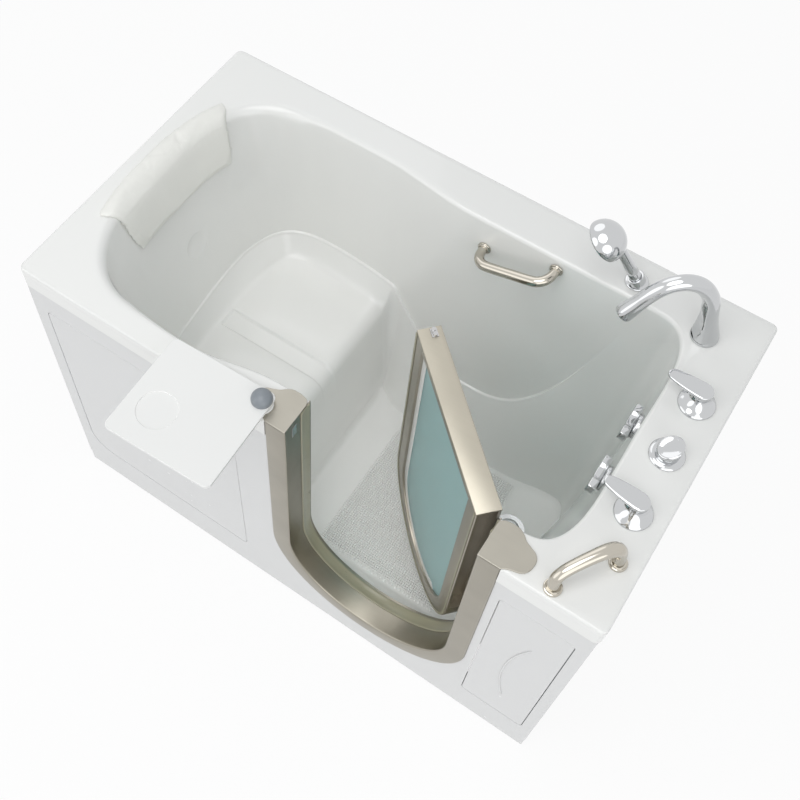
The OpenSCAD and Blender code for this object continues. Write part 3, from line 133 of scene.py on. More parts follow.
def finish_of(name, colour, roughness, metallic=0.0, mottle=0.02, mottle_scale=7.0, swing=0.05,
              bump=0.03, bump_scale=300.0, stretch=(1, 1, 1), coat=0.0, **more):
    """A material whose colour, roughness and surface vary with the place on the piece."""
    material = bpy.data.materials.new(name)
    material.use_nodes = True
    tree = material.node_tree
    shader = tree.nodes["Principled BSDF"]
    where = add(tree, "TexCoord", name="where")
    pull = add(tree, "Mapping", {"Scale": stretch, "Vector": where.outputs["Object"]}, name="pull")
    broad = add(tree, "TexNoise", {"Scale": mottle_scale, "Detail": 5.0, "Vector": pull.outputs[0]})
    fine = add(tree, "TexNoise", {"Scale": bump_scale, "Detail": 3.0, "Vector": pull.outputs[0]})
    dark, pale = [(*[min(1.0, c * (1 + share)) for c in colour], 1) for share in (-mottle, mottle)]
    tint = add(tree, "Mix", {"A": dark, "B": pale, "Factor": broad.outputs["Fac"]}, name="tint",
               data_type="RGBA")
    halved = add(tree, "Math", {0: broad.outputs["Fac"], 1: 0.5}, operation="MULTIPLY")
    both = add(tree, "Math", {0: fine.outputs["Fac"], 1: 0.5, 2: halved.outputs[0]},
               operation="MULTIPLY_ADD")
    dull = add(tree, "MapRange", {"Value": both.outputs[0], "To Min": max(0.02, roughness - swing),
                                  "To Max": roughness + swing})
    relief = add(tree, "Bump", {"Strength": bump, "Distance": 0.0006, "Height": fine.outputs["Fac"]},
                 name="relief")
    feed(shader, {"Metallic": metallic, "Coat Weight": coat, "Coat Roughness": 0.05,
                  "Base Color": tint.outputs["Result"], "Roughness": dull.outputs["Result"],
                  "Normal": relief.outputs[0]})
    feed(shader, {key.replace("_", " "): value for key, value in more.items()})
    return material


floor_paint = finish_of("floor_paint", (0.90, 0.90, 0.90), 0.6, mottle=0.004, bump=0.01)
paint = floor_paint.node_tree
glow = add(paint, "Emission", {"Color": (1, 1, 1, 1)})
most = add(paint, "Math", {0: seen_plainly(paint)[1], 1: 0.92}, operation="MULTIPLY")
lit = add(paint, "MixShader", {"Fac": most.outputs[0], 1: paint.nodes["Principled BSDF"].outputs[0],
                               2: glow.outputs[0]})
feed(paint.nodes["Material Output"], {"Surface": lit.outputs[0]})
ground = bpy.data.meshes.new("floor")
ground.from_pydata([(-9, -9, 0), (9, -9, 0), (9, 9, 0), (-9, 9, 0)], [], [(0, 1, 2, 3)])
ground.materials.append(floor_paint)
in_scene("floor", ground)

# Tub shell
# One vacuum-formed sheet of glossy white acrylic with a fibreglass back: the deck with its
# turned-down lip, the basin, a seat with a shallow drain channel, and the footwell with a
# fine anti-slip pattern in its floor. The doorway is cut through its front wall.


def mix(a, b, t):
    """A value t of the way from a to b."""
    return a + (b - a) * t


def ease(t):
    """A smooth step from 0 to 1."""
    t = min(1.0, max(0.0, t))
    return t * t * (3 - 2 * t)


def bend(v, n):
    """A cosine or sine, changed so that its circle becomes a squarer oval of power n."""
    return math.copysign(abs(v) ** (2 / n), v)


def arc(start, end, steps):
    """Angles in radians, evenly spaced between two in degrees."""
    return np.radians(np.linspace(start, end, steps))


def full_turn(steps):
    """Angles in radians round a whole circle."""
    return np.linspace(0, 2 * math.pi, steps, endpoint=False)


def unit(angle):
    """The direction of an angle in its plane."""
    return np.array([math.cos(angle), math.sin(angle)])


def round_corner(centre, r, start, end, steps=5):
    """Points of an arc in a plane, between two angles in degrees."""
    return [(centre[0] + r * math.cos(a), centre[1] + r * math.sin(a)) for a in arc(start, end, steps)]


deck_z, half_l, half_w, corner_r = 890.0, 660.0, 372.5, 14.0
lip_z, lip_r = 833.0, 5.0
hub_y = -8.0
head_x, head_bow, head_power = -400.0, 212.0, 2.5
tap_x, tap_bow, tap_power = 400.0, 140.0, 4.5
seat_z, seat_front, floor_z, line_top, tap_line = 430.0, -145.0, 105.0, 480.0, 860.0
nose_r, toe_r, face_lean = 40.0, 18.0, 7.0
draft = 0.03


def back_edge(x):
    """Y of the rim's edge along the back."""
    return half_w - mix(72.0, 97.0, ease((x + 215) / 240))


def front_edge(x):
    """Y of the rim's edge along the front."""
    return -half_w + mix(45.0, 79.0, ease((x + 270) / 210))


def back_line(x):
    """Height of the line along the back wall where its upper part ends."""
    fall = min(1.0, max(0.0, (x + 140) / 230))
    rise = max(0.0, (x - 110) / 315)
    return min(tap_line, 275 + (line_top - 275) * (1 - fall) ** 1.6 + 615 * rise ** 2.6)


def front_line(x):
    """Height of the same line along the front wall."""
    return mix(line_top, floor_z + 40, ease((x + 150) / 130))


def rim_roll(x):
    """Radius of the rim's edge, which is softer towards the headrest."""
    return mix(10.0, 24.0, ease((head_x + 100 - x) / 160))


def seat_section():
    """Points (x, z) along the seat, over its front edge and along the footwell floor."""
    lean = math.radians(face_lean)
    nose = np.array([seat_front - nose_r, seat_z - nose_r])
    run = (nose[1] + (nose_r + toe_r) * math.sin(lean) - floor_z - toe_r) / math.cos(lean)
    toe = nose + (nose_r + toe_r) * unit(lean) + run * np.array([math.sin(lean), -math.cos(lean)])
    points = [(mix(head_x, nose[0] - 4, i / 14), seat_z) for i in range(15)]
    points += [tuple(nose + nose_r * unit(a)) for a in arc(90, face_lean, 9)]
    top, foot = np.array(points[-1]), toe + toe_r * unit(math.pi + lean)
    points += [tuple(mix(top, foot, t)) for t in (0.2, 0.4, 0.6, 0.8)]
    points += [tuple(toe + toe_r * unit(a)) for a in arc(180 + face_lean, 270, 6)]
    points += [(mix(toe[0], tap_x, i / 30), floor_z) for i in range(1, 31)]
    return points


def on_border(hub, out):
    """Where a ray from the hub meets the deck's rounded rectangle, and the outward direction there."""
    out = np.array(out) / np.linalg.norm(out)
    half = (half_l, half_w)
    reach = min((math.copysign(half[k], out[k]) - hub[k]) / out[k] for k in (0, 1) if abs(out[k]) > 1e-9)
    hit = hub + out * reach
    centre = np.array([math.copysign(half[k] - corner_r, hit[k]) for k in (0, 1)])
    if abs(hit[0]) > half_l - corner_r and abs(hit[1]) > half_w - corner_r:
        to = hub - centre
        b = to @ out
        hit = hub + out * (-b + math.sqrt(max(0.0, b * b - to @ to + corner_r ** 2)))
        return hit, (hit - centre) / corner_r
    k = 0 if abs(hit[0]) > half_l - 0.01 else 1
    away = np.zeros(2)
    away[k] = math.copysign(1, hit[k])
    return hit, away


def fan_angles(start, end, hub_x, bow, back, front, power):
    """Even angles round one end, with extra ones that aim at the deck's rounded corners."""
    steps = list(np.linspace(start, end, 49)[1:-1])
    way = math.copysign(1, hub_x)
    for side, reach in ((1, back), (-1, front)):
        for a in arc(0, 90, 7):
            px = way * (half_l - corner_r + corner_r * math.sin(a)) - hub_x
            py = side * (half_w - corner_r + corner_r * math.cos(a)) - hub_y
            k = (abs(py) / reach * bow / abs(px)) ** (power / 2)
            t = math.degrees(math.atan(k)) * side
            steps.append(t if way > 0 else -180 - t)
    low, high = min(start, end), max(start, end)
    steps = sorted((t for t in steps if low + 0.3 < t < high - 0.3), reverse=end < start)
    return [t for i, t in enumerate(steps) if i == 0 or abs(t - steps[i - 1]) > 0.15]


def curve_through(points, per=8):
    """A smooth open curve through points of any size."""
    pts = [np.array(p, float) for p in points]
    pts = [2 * pts[0] - pts[1]] + pts + [2 * pts[-1] - pts[-2]]
    out = []
    for i in range(1, len(pts) - 2):
        a, b, c, d = pts[i - 1:i + 3]
        for t in np.linspace(0, 1, per, endpoint=False):
            out.append(0.5 * (2 * b + (c - a) * t + (2 * a - 5 * b + 4 * c - d) * t * t
                              + (3 * b - a - 3 * c + d) * t ** 3))
    return out + [pts[-2]]


def reach_to(curve, hub, way):
    """How far a curve in plan lies from the hub along a direction."""
    for a, b in zip(curve[:-1], curve[1:]):
        step, to = a - b, a - hub
        det = way[0] * step[1] - way[1] * step[0]
        if abs(det) < 1e-9:
            continue
        s = (to[0] * step[1] - to[1] * step[0]) / det
        t = (way[0] * to[1] - way[1] * to[0]) / det
        if s > 0 and -1e-6 <= t <= 1 + 1e-6:
            return s


ridge_curve = curve_through([(-90, 264.5), (-150, 274), (-198, 281.2), (-262.5, 286.5), (-316, 288.5),
                             (-378, 286.4), (-424.8, 275.2), (-457.4, 252.9), (-480.4, 221.3),
                             (-495, 181.1), (-502.4, 138.7), (-504.2, 86), (-501.1, 10), (-493.9, -66),
                             (-484.9, -140), (-469, -210), (-444, -258), (-398, -297), (-340, -302)])
pan_curve = curve_through([(-100, 222), (-150, 226.5), (-250, 229.5), (-340, 231), (-390, 229), (-419, 218),
                           (-438, 194), (-447, 150), (-451, 95), (-452, 31), (-451, -32), (-448, -120),
                           (-441, -178), (-427, -213), (-398, -235), (-340, -238)])
channel_half, channel_deep, ledge_out, ledge_sink = 27.0, 6.0, 7.0, 4.0
section_points = seat_section()
last = len(section_points) - 1
back_tap, front_tap = back_edge(tap_x) - hub_y, hub_y - front_edge(tap_x)
back_head, front_head = back_edge(head_x) - hub_y, hub_y - front_edge(head_x)
stations = []
for j, (x, z) in enumerate(section_points):
    stations.append((np.array([x, back_edge(x)]), j, rim_roll(x), draft, back_line(x),
                     mix(42, 80, ease((x + 160) / 120)), z, 1 - ease((x - 290) / 100)))
for t in fan_angles(90, -90, tap_x, tap_bow, back_tap, front_tap, tap_power):
    c, s = unit(math.radians(t))
    side = back_tap if t > 0 else front_tap
    to_end, front = ease((90 - abs(t)) / 40), ease((-t - 40) / 35)
    edge = np.array([tap_x + tap_bow * bend(c, tap_power), hub_y + side * bend(s, tap_power)])
    line = mix(mix(back_line(tap_x), front_line(tap_x), front), tap_line, to_end)
    stations.append((edge, last, mix(10.0, 5.0, front), mix(draft, 0.0, front), line,
                     mix(mix(80, 35, front), 110, to_end), floor_z, 0.0))
for j in range(last, -1, -1):
    x, z = section_points[j]
    door = ease((x + 150) / 100)
    stations.append((np.array([x, front_edge(x)]), j, mix(rim_roll(x), 5.0, door), mix(draft, 0.0, door),
                     front_line(x), mix(55, 35, door), z, 1 - door))
for t in fan_angles(-90, -270, head_x, head_bow, back_head, front_head, head_power):
    c, s = unit(math.radians(t))
    side = back_head if t < -180 else front_head
    to_end = ease(min(-90 - t, 270 + t) / 33)
    edge = np.array([head_x - head_bow * bend(-c, head_power), hub_y + side * bend(s, head_power)])
    stations.append((edge, 0, 24.0, mix(draft, 0.22, to_end), line_top, 55, seat_z, 1.0))

dips = [channel_deep * ease((z - seat_z + nose_r * 1.6) / 40) for x, z in section_points]
rows, wall_lean = [], []
for edge, j, roll, lean, line, dish, base, ledge in stations:
    hub = np.array([section_points[j][0], hub_y])
    span = np.linalg.norm(hub - edge)
    into = (hub - edge) / span
    border, away = on_border(hub, -into)
    line_d = roll + (deck_z - roll - line) * lean
    out, sink = ledge_out * ledge, ledge_sink * ledge
    low = line_d + out + dish
    if j == 0 and edge[0] < head_x - 1 or edge[0] < -150 and edge[1] > hub_y:
        line_d = span - reach_to(ridge_curve, hub, -into)
        low = span - reach_to(pan_curve, hub, -into)
        roll = min(roll, line_d - 1.5)
    wall_lean.append((line_d - roll) / (deck_z - roll - line))
    inner = max(low + 4, span - channel_half / max(abs(into[1]), 0.01))
    ring = [(*border, z) for z in (lip_z, 850.0, 870.0)]
    for a in arc(90, 0, 4):
        ring.append((*(border - away * lip_r * (1 - math.sin(a))), deck_z - lip_r * (1 - math.cos(a))))
    ring += [(*mix(border - away * lip_r, edge, f), deck_z) for f in (0.1, 0.35, 0.65, 0.9)]
    wall = [(roll * math.sin(a), deck_z - roll * (1 - math.cos(a)))
            for a in np.radians((0, 12, 25, 38, 51, 64, 77, 90))]
    wall += [(mix(roll, line_d, t), mix(deck_z - roll, line + sink, t))
             for t in (0.15, 0.35, 0.55, 0.75, 0.92, 0.985)]
    wall += [(line_d + out * along, line + sink * up)
             for along, up in ((0.12, 0.35), (0.5, 0.1), (0.82, -0.1), (1, -0.5), (1.06, -1.2))]
    foot, top = wall[-1]
    wall += [(mix(foot, low, u), base + (top - base) * (1 - u) ** 1.4)
             for u in (0.03, 0.08, 0.16, 0.26, 0.38, 0.5, 0.62, 0.74, 0.86, 1.0)]
    wall += [(mix(low, inner - 2, t), base) for t in (0.25, 0.5, 0.75, 1.0)]
    wall += [(inner + d, base - dips[j] * deep)
             for d, deep in ((0, 0.1), (2, 0.4), (4.5, 0.85), (6.5, 1), (8, 1))]
    rows.append(ring + [(*(edge + into * d), z) for d, z in wall])
count, depth = len(rows), len(rows[0])
shell_points = [p for ring in rows for p in ring]
hub_start = len(shell_points)
shell_points += [(x, hub_y, z - dips[j]) for j, (x, z) in enumerate(section_points)]
shell_faces = []
for i in range(count):
    k = (i + 1) % count
    for m in range(depth - 1):
        shell_faces.append((i * depth + m, i * depth + m + 1, k * depth + m + 1, k * depth + m))
    a, b = hub_start + stations[i][1], hub_start + stations[k][1]
    middle = (a, b) if a != b else (a,)
    shell_faces.append((i * depth + depth - 1, *middle, k * depth + depth - 1))


mm = 0.001


def mesh_of(name, points, faces):
    """A mesh from points in millimetres."""
    mesh = bpy.data.meshes.new(name)
    mesh.from_pydata([tuple(float(c) * mm for c in p) for p in points], [], [list(f) for f in faces])
    return mesh


def shade(mesh, sharp):
    """Shades a mesh smooth, but for edges sharper than an angle in degrees."""
    mesh.polygons.foreach_set("use_smooth", [True] * len(mesh.polygons))
    mesh.set_sharp_from_angle(angle=math.radians(sharp))


def piece(name, points, faces, material, slot, body="tub", stands_for=(), sharp=32):
    """A mesh piece from points in millimetres that rides on a body and may stand for CAD nodes."""
    mesh = mesh_of(name, points, faces)
    mesh.validate()
    mesh.materials.append(material)
    shade(mesh, sharp)
    obj = in_scene(name, mesh)
    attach(obj, body)
    if stands_for:
        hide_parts(*stands_for)
    return obj


def applied(obj, sharp=None):
    """Makes a piece's modifiers part of its mesh."""
    bpy.context.view_layer.update()
    shaped = bpy.data.meshes.new_from_object(obj.evaluated_get(bpy.context.evaluated_depsgraph_get()))
    obj.modifiers.clear()
    obj.data = shaped
    if sharp is not None:
        shade(shaped, sharp)


def facing_out(obj):
    """Turns a closed shape's faces outwards."""
    solid = bmesh.new()
    solid.from_mesh(obj.data)
    bmesh.ops.recalc_face_normals(solid, faces=solid.faces)
    solid.to_mesh(obj.data)
    solid.free()
    return obj


acrylic = finish_of("white_acrylic", (0.92, 0.92, 0.895), 0.16, mottle=0.012, mottle_scale=3.0, swing=0.03,
                    bump=0.012, bump_scale=60.0, coat=0.35)
tub_shell = piece("tub_shell_form", shell_points, shell_faces, acrylic, "shell", stands_for=["tub_shell"],
                  sharp=50)


def cutter(name, points, faces):
    """A closed shape that is cut out of a piece and then deleted."""
    return facing_out(in_scene(name, mesh_of(name, points, faces)))


def slab_faces(count):
    """Faces of a slab: an outline of so many points, its copy, and the sides between them."""
    sides = [(i, (i + 1) % count, count + (i + 1) % count, count + i) for i in range(count)]
    return [tuple(range(count)), tuple(range(2 * count - 1, count - 1, -1))] + sides


def hoops(count, around, start=0, ends=True):
    """Faces between rings of points that follow each other, and across the first and last ring."""
    faces = []
    for low in range(start, start + (count - 1) * around, around):
        for k in range(around):
            m = (k + 1) % around
            faces.append((low + k, low + m, low + around + m, low + around + k))
    if ends:
        faces.append(tuple(range(start, start + around))[::-1])
        faces.append(tuple(range(start + (count - 1) * around, start + count * around)))
    return faces


def rod(name, at, r, low, high, steps=48):
    """An upright round bar to cut a hole with."""
    ring = [(at[0] + r * math.cos(a), at[1] + r * math.sin(a)) for a in full_turn(steps)]
    return cutter(name, [(*p, z) for z in (low, high) for p in ring], slab_faces(steps))


def prism_y(outline, front, back):
    """Points and faces of an outline in X and Z, drawn out along Y."""
    return [(x, y, z) for y in (front, back) for x, z in outline], slab_faces(len(outline))


def rectangle(x0, y0, x1, y1):
    """Outline of a rectangle from two opposite corners."""
    return [(x0, y0), (x1, y0), (x1, y1), (x0, y1)]


door_x, door_cz, door_r, door_gap, jamb_cut_r = 203.5, 349.0, 205.0, 2.3, 252.3
cut_front, cut_top = -390.0, 910.0


def doorway_outline(r, top, steps=96):
    """Outline in X and Z of two upright sides with a round foot, centred on the doorway."""
    foot = round_corner((door_x, door_cz), r, 180, 360, steps + 1)
    return [(door_x - r, top)] + foot + [(door_x + r, top)]


deck_cut = rectangle(door_x - jamb_cut_r, door_cz + door_r, door_x + jamb_cut_r, cut_top)
cutters = [cutter("cut_doorway", *prism_y(doorway_outline(door_r + door_gap, cut_top), cut_front, -240)),
           cutter("cut_deck", *prism_y(deck_cut, cut_front, -302.5))]
drain_x, drain_ys = 372.0, {"rear": 38.0, "front": -66.0}
cutters += [rod("cut_drain", (drain_x, y), 24.3, 60, 140) for y in drain_ys.values()]
dimple_r, dimple_deep, dimple_edge, around = 33.0, 4.5, 48.0, 64
ball_r = (dimple_r ** 2 + dimple_deep ** 2) / (2 * dimple_deep)
backrest = BVHTree.FromObject(tub_shell, bpy.context.evaluated_depsgraph_get())
spot, out_of = backrest.find_nearest(Vector((-0.5345, 0.013, 0.6287)))[:2]
spot, out_of = np.array(spot) / mm, np.array(out_of) * math.copysign(1, out_of[0])
ball_mid = spot + out_of * (ball_r - dimple_deep)
flat_way = np.cross(out_of, (0, 1, 0))
flat_way /= np.linalg.norm(flat_way)
ball_points = [tuple(ball_mid - out_of * ball_r)]
for a in np.linspace(0, math.asin(dimple_edge / ball_r), 13)[1:]:
    for t in full_turn(around):
        round_way = flat_way * math.cos(t) + np.cross(out_of, flat_way) * math.sin(t)
        ball_points.append(tuple(ball_mid - out_of * ball_r * math.cos(a) + round_way * ball_r * math.sin(a)))
ball_faces = [(0, 1 + k, 1 + (k + 1) % around) for k in range(around)] + hoops(12, around, 1, ends=False)
ball_faces.append(tuple(range(1 + 11 * around, 1 + 12 * around)))
cutters.append(cutter("cut_dimple", ball_points, ball_faces))
thick = tub_shell.modifiers.new("thickness", "SOLIDIFY")
thick.thickness = 6 * mm
thick.offset = -1
for tool in cutters:
    cut = tub_shell.modifiers.new("cut", "BOOLEAN")
    cut.operation = "DIFFERENCE"
    cut.solver = "MANIFOLD"
    cut.object = tool
applied(tub_shell, 50)
for tool in cutters:
    bpy.data.objects.remove(tool)


def in_dimple(face):
    """Whether a face of the shell lies on the ball that forms the dimple."""
    return abs((face.calc_center_median() / mm - Vector(ball_mid)).length - ball_r) < 0.25


ridged = bmesh.new()
ridged.from_mesh(tub_shell.data)
for edge in ridged.edges:
    if len(edge.link_faces) == 2 and (edge.verts[0].co / mm - Vector(spot)).length < 60:
        if in_dimple(edge.link_faces[0]) != in_dimple(edge.link_faces[1]):
            edge.smooth = False
ridged.to_mesh(tub_shell.data)
ridged.free()

tree = acrylic.node_tree
on_piece = tree.nodes["where"].outputs["Object"]
place_on = add(tree, "SeparateXYZ", {0: on_piece})
grip_area = (("Z", 0.115, 0.109), ("X", -0.012, 0.004), ("X", 0.335, 0.320), ("Y", -0.246, -0.236),
             ("Y", 0.156, 0.148))
masks = [add(tree, "MapRange", {"From Min": low, "From Max": high, "Value": place_on.outputs[axis]},
             interpolation_type="SMOOTHSTEP").outputs[0] for axis, low, high in grip_area]
masks += [add(tree, "TexWave", {"Scale": 52.0, "Distortion": 0.4, "Vector": on_piece},
              bands_direction=way).outputs["Fac"] for way in ("X", "Y")]
height = masks[0]
for mask in masks[1:]:
    height = add(tree, "Math", {0: height, 1: mask}, operation="MULTIPLY").outputs[0]
grip = add(tree, "Bump", {"Strength": 1.0, "Distance": 0.0022, "Height": height,
                          "Normal": tree.nodes["relief"].outputs[0]})
feed(tree.nodes["Principled BSDF"], {"Normal": grip.outputs[0]})
beads, bead_faces, bead_pitch = [], [], 11.1
for k in range(30):
    bead_faces += hoops(3, 10, len(beads))
    for r, z in ((4.3, 104.9), (3.9, 105.7), (2.6, 106.5)):
        beads += [(-2 + bead_pitch * k + r * math.cos(a) * 0.8,
                   -248 + 1.6 * math.sin(a * 0.5) + r * math.sin(a), z) for a in full_turn(10)]
piece("grip_beads", beads, bead_faces, acrylic, "shell", sharp=60)

# Front apron and access panels
# Flat white sheets clipped to the frame below the deck's lip, with a flush plinth under them. Two
# lift-off panels sit in the apron with a thin shadow gap; the small one has a moulded arc.


def rounded(obj, edge, steps, spread):
    """Rounds the edges of a piece that are sharper than a spread in degrees."""
    rounding = obj.modifiers.new("rounded_edges", "BEVEL")
    rounding.width = edge * mm
    rounding.segments = steps
    rounding.limit_method = "ANGLE"
    rounding.angle_limit = math.radians(spread)
    return rounding


def cut_away(obj, tools, edge=0.0, steps=2, sharp=32):
    """Cuts closed shapes out of a piece, then rounds its sharp edges."""
    for tool in tools:
        cut = obj.modifiers.new("cut", "BOOLEAN")
        cut.solver = "EXACT"
        cut.object = tool
    if edge:
        rounded(obj, edge, steps, 50)
        obj.modifiers.new("even_shading", "WEIGHTED_NORMAL").keep_sharp = True
    applied(obj, None if edge else sharp)
    for tool in tools:
        bpy.data.objects.remove(tool)


def upright(p):
    """A point of a flat plate, turned so that the plate stands on edge and faces the door side."""
    return (p[0], p[2], p[1])


def plate(name, outline, low, high, edge, material, slot, body="tub", stands_for=(), tools=(),
          put=lambda p: p, steps=3):
    """A flat plate with rounded edges, from its outline, with closed shapes cut out of it."""
    points = [put((x, y, z)) for z in (low, high) for x, y in outline]
    obj = facing_out(piece(name, points, slab_faces(len(outline)), material, slot, body, stands_for))
    cut_away(obj, tools, edge, steps)
    return obj


def rounded_outline(low, high, radii, grow=0.0, steps=10):
    """Outline of a rectangle whose corners have their own radii, from the upper right on."""
    (x0, y0), (x1, y1) = [v - grow for v in low], [v + grow for v in high]
    a, b, c, d = [r + grow for r in radii]
    corners = ((x1 - a, y1 - a, a, 0), (x0 + b, y1 - b, b, 90), (x0 + c, y0 + c, c, 180),
               (x1 - d, y0 + d, d, 270))
    return [p for x, y, r, start in corners for p in round_corner((x, y), r, start, start + 90, steps)]


panel_white = finish_of("panel_white", (0.77, 0.77, 0.765), 0.26, mottle=0.012, mottle_scale=5.0, swing=0.04,
                        bump=0.01, bump_scale=60.0, coat=0.15)
apron_front, apron_back, plinth_set = -368.5, -363.5, 1.0
panel_gap, grid = 1.5, 40
panels = {"left_access_panel": ((-620, 133), (-137, 756), (150, 16, 66, 16)),
          "right_access_panel": ((475, 133), (630, 756), (12, 12, 12, 12))}
holes = [doorway_outline(jamb_cut_r, 900)] + [rounded_outline(*field, panel_gap) for field in panels.values()]
apron = plate("apron_sheet", rectangle(-656, 50, 656, 829.5), apron_front, apron_back, 0.0,
              panel_white, "apron", stands_for=["front_apron"], put=upright,
              tools=[cutter("hole", *prism_y(hole, -380, -350)) for hole in holes])
gridded = bmesh.new()
gridded.from_mesh(apron.data)
for way, spots in (((1, 0, 0), range(-640, 641, grid)), ((0, 0, 1), range(80, 821, grid))):
    for at in spots:
        bmesh.ops.bisect_plane(gridded, geom=gridded.verts[:] + gridded.edges[:] + gridded.faces[:],
                               plane_co=Vector(way) * at * mm, plane_no=way)
gridded.to_mesh(apron.data)
gridded.free()
plate("plinth", rectangle(-655, 1, 655, 49.8), apron_front + plinth_set, apron_back + plinth_set, 0.8,
      panel_white, "apron", put=upright, steps=2)
for name, field in panels.items():
    plate(name + "_form", rounded_outline(*field), apron_front, apron_back, 1.4, panel_white, "apron",
          stands_for=[name], put=upright, steps=2)


def tube(path, sides=32, side_way=None):
    """Points and faces of a round bar along points of (x, y, z, radius)."""
    places, points, way = [np.array(p[:3], float) for p in path], [], None
    for i, p in enumerate(places):
        ahead = places[min(i + 1, len(places) - 1)] - places[max(i - 1, 0)]
        ahead /= np.linalg.norm(ahead)
        if way is None:
            way = np.array(side_way or ((0, 0, 1) if abs(ahead[2]) < 0.9 else (1, 0, 0)), float)
        way = way - ahead * (way @ ahead)
        way /= np.linalg.norm(way)
        over = np.cross(ahead, way)
        points += [p + path[i][3] * (way * math.cos(a) + over * math.sin(a)) for a in full_turn(sides)]
    return points, hoops(len(path), sides)


arc_line = round_corner((1104.0, 420.0), 567.5, 160.5, 196.5, 40)
arc_radii = [0.4] + [2.0] * 38 + [0.4]
arc_path = [(x, apron_front - 0.9, z, r) for (x, z), r in zip(arc_line, arc_radii)]
piece("panel_arc", *tube(arc_path, 16), panel_white, "apron")
catch_grey = finish_of("catch_grey", (0.10, 0.10, 0.11), 0.45, mottle=0.08, mottle_scale=30.0, bump=0.1)


def finish_node(name, material):
    """Gives a CAD node that keeps its shape a worked finish."""
    obj = frame["nodes"][name]
    if not obj.material_slots:
        obj.data.materials.append(material)
    for spot in obj.material_slots:
        spot.material = material


finish_node("panel_catches", catch_grey)

# Support frame and feet
# Welded square steel tube in grey powder coat stands on zinc-plated levelling feet with lock
# nuts. Plywood boards on the rails carry the seat and the footwell.


body_of_node = {n: b for b, names in frame["record"]["behaviour"]["bodies"].items() for n in names}


def worked_copy(node, edge, material):
    """A copy of a CAD node whose edges are rounded off, with a worked finish."""
    source, spread = frame["nodes"][node], 30
    solid = bmesh.new()
    solid.from_mesh(source.data)
    solid.transform(source.matrix_world)
    bmesh.ops.remove_doubles(solid, verts=solid.verts, dist=2e-6)
    bmesh.ops.dissolve_limit(solid, angle_limit=math.radians(0.6), verts=solid.verts, edges=solid.edges)
    mesh = bpy.data.meshes.new(node + "_form")
    solid.to_mesh(mesh)
    solid.free()
    mesh.materials.clear()
    mesh.materials.append(material)
    shade(mesh, spread)
    obj = in_scene(node + "_form", mesh)
    rounded(obj, edge, 2, spread).harden_normals = True
    applied(obj)
    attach(obj, body_of_node[node])
    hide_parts(node)


frame_grey = finish_of("powder_coat", (0.27, 0.28, 0.29), 0.48, mottle=0.05, mottle_scale=20.0, swing=0.08,
                       bump=0.12, bump_scale=900.0)
for bar in ("front_rail", "rear_rail", "left_rail", "right_rail", "head_rail", "seat_rail", "middle_rail",
            "drain_rail", "corner_posts", "seat_legs"):
    worked_copy(bar, 1.8, frame_grey)
zinc = finish_of("zinc_plate", (0.55, 0.56, 0.58), 0.32, metallic=1.0, mottle=0.10, mottle_scale=40.0,
                 swing=0.10, bump=0.05)
worked_copy("levelling_feet", 0.8, zinc)
finish_node("foot_lock_nuts", zinc)


def plywood(name):
    """Sealed plywood: growth lines drawn out along the board, and a duller, rougher grain."""
    wood = finish_of(name, (0.55, 0.40, 0.24), 0.55, mottle=0.25, mottle_scale=5.0, swing=0.12, bump=0.25,
                     bump_scale=90.0, stretch=(1, 14, 14))
    tree = wood.node_tree
    rings = add(tree, "TexWave", {"Scale": 6.0, "Distortion": 9.0, "Detail": 3.0,
                                  "Vector": tree.nodes["where"].outputs["Object"]}, bands_direction="Y")
    faint = add(tree, "Math", {0: rings.outputs["Fac"], 1: 0.45}, operation="MULTIPLY")
    darker = add(tree, "Mix", {"Factor": faint.outputs[0], "A": tree.nodes["tint"].outputs["Result"],
                               "B": (0.36, 0.23, 0.12, 1)}, data_type="RGBA")
    feed(tree.nodes["Principled BSDF"], {"Base Color": darker.outputs["Result"]})
    return wood


board_wood = plywood("plywood")
worked_copy("seat_bearer", 1.0, board_wood)
worked_copy("floor_board", 1.0, board_wood)

# Door jamb, caps and seal
# A U-shaped jamb folded and welded from brushed stainless steel frames the doorway. Flat caps
# of satin champagne steel close its tops, and a clear olive silicone seal runs round it.


def brushed(name, colour, roughness, along, mottle, streak=0.05, bump=0.10):
    """Brushed steel whose fine scratches run along X, or along a swept piece's own grain."""
    metal = finish_of(name, colour, roughness, metallic=1.0, mottle=streak, mottle_scale=9.0, swing=0.07,
                      bump=bump, bump_scale=28.0, stretch=(1.2, 60, 60))
    tree = metal.node_tree
    where = tree.nodes["where"].outputs
    feed(tree.nodes["pull"], {"Vector": where[along]})
    cloud = add(tree, "TexNoise", {"Scale": 11.0, "Detail": 2.0, "Vector": where["Object"]})
    ramp = add(tree, "MapRange", {"From Min": 0.3, "From Max": 0.7, "To Min": 1 - mottle, "To Max": 1.0,
                                  "Value": cloud.outputs["Fac"]})
    shade_of = add(tree, "Mix", {"Factor": 1.0, "A": tree.nodes["tint"].outputs["Result"],
                                 "B": ramp.outputs["Result"]}, data_type="RGBA", blend_type="MULTIPLY")
    feed(tree.nodes["Principled BSDF"], {"Base Color": shade_of.outputs["Result"]})
    return metal


def doorway_steps(top, end=360.0, steps=96):
    """Stations (across, up, height) down the doorway's left side, round its foot and up its right side."""
    stations = [(-1, 0, z) for z in np.linspace(top, door_cz, 9)[:-1]]
    stations += [(*unit(a), door_cz) for a in arc(180, end, steps + 1)]
    if end == 360.0:
        stations += [(1, 0, z) for z in np.linspace(door_cz, top, 9)[1:]]
    return stations


def round_doorway(profile, stations, put):
    """Points of a profile of (distance from the doorway's middle, y) at each station."""
    return [put((door_x + r * across, y, height + r * up)) for across, up, height in stations
            for r, y in profile]


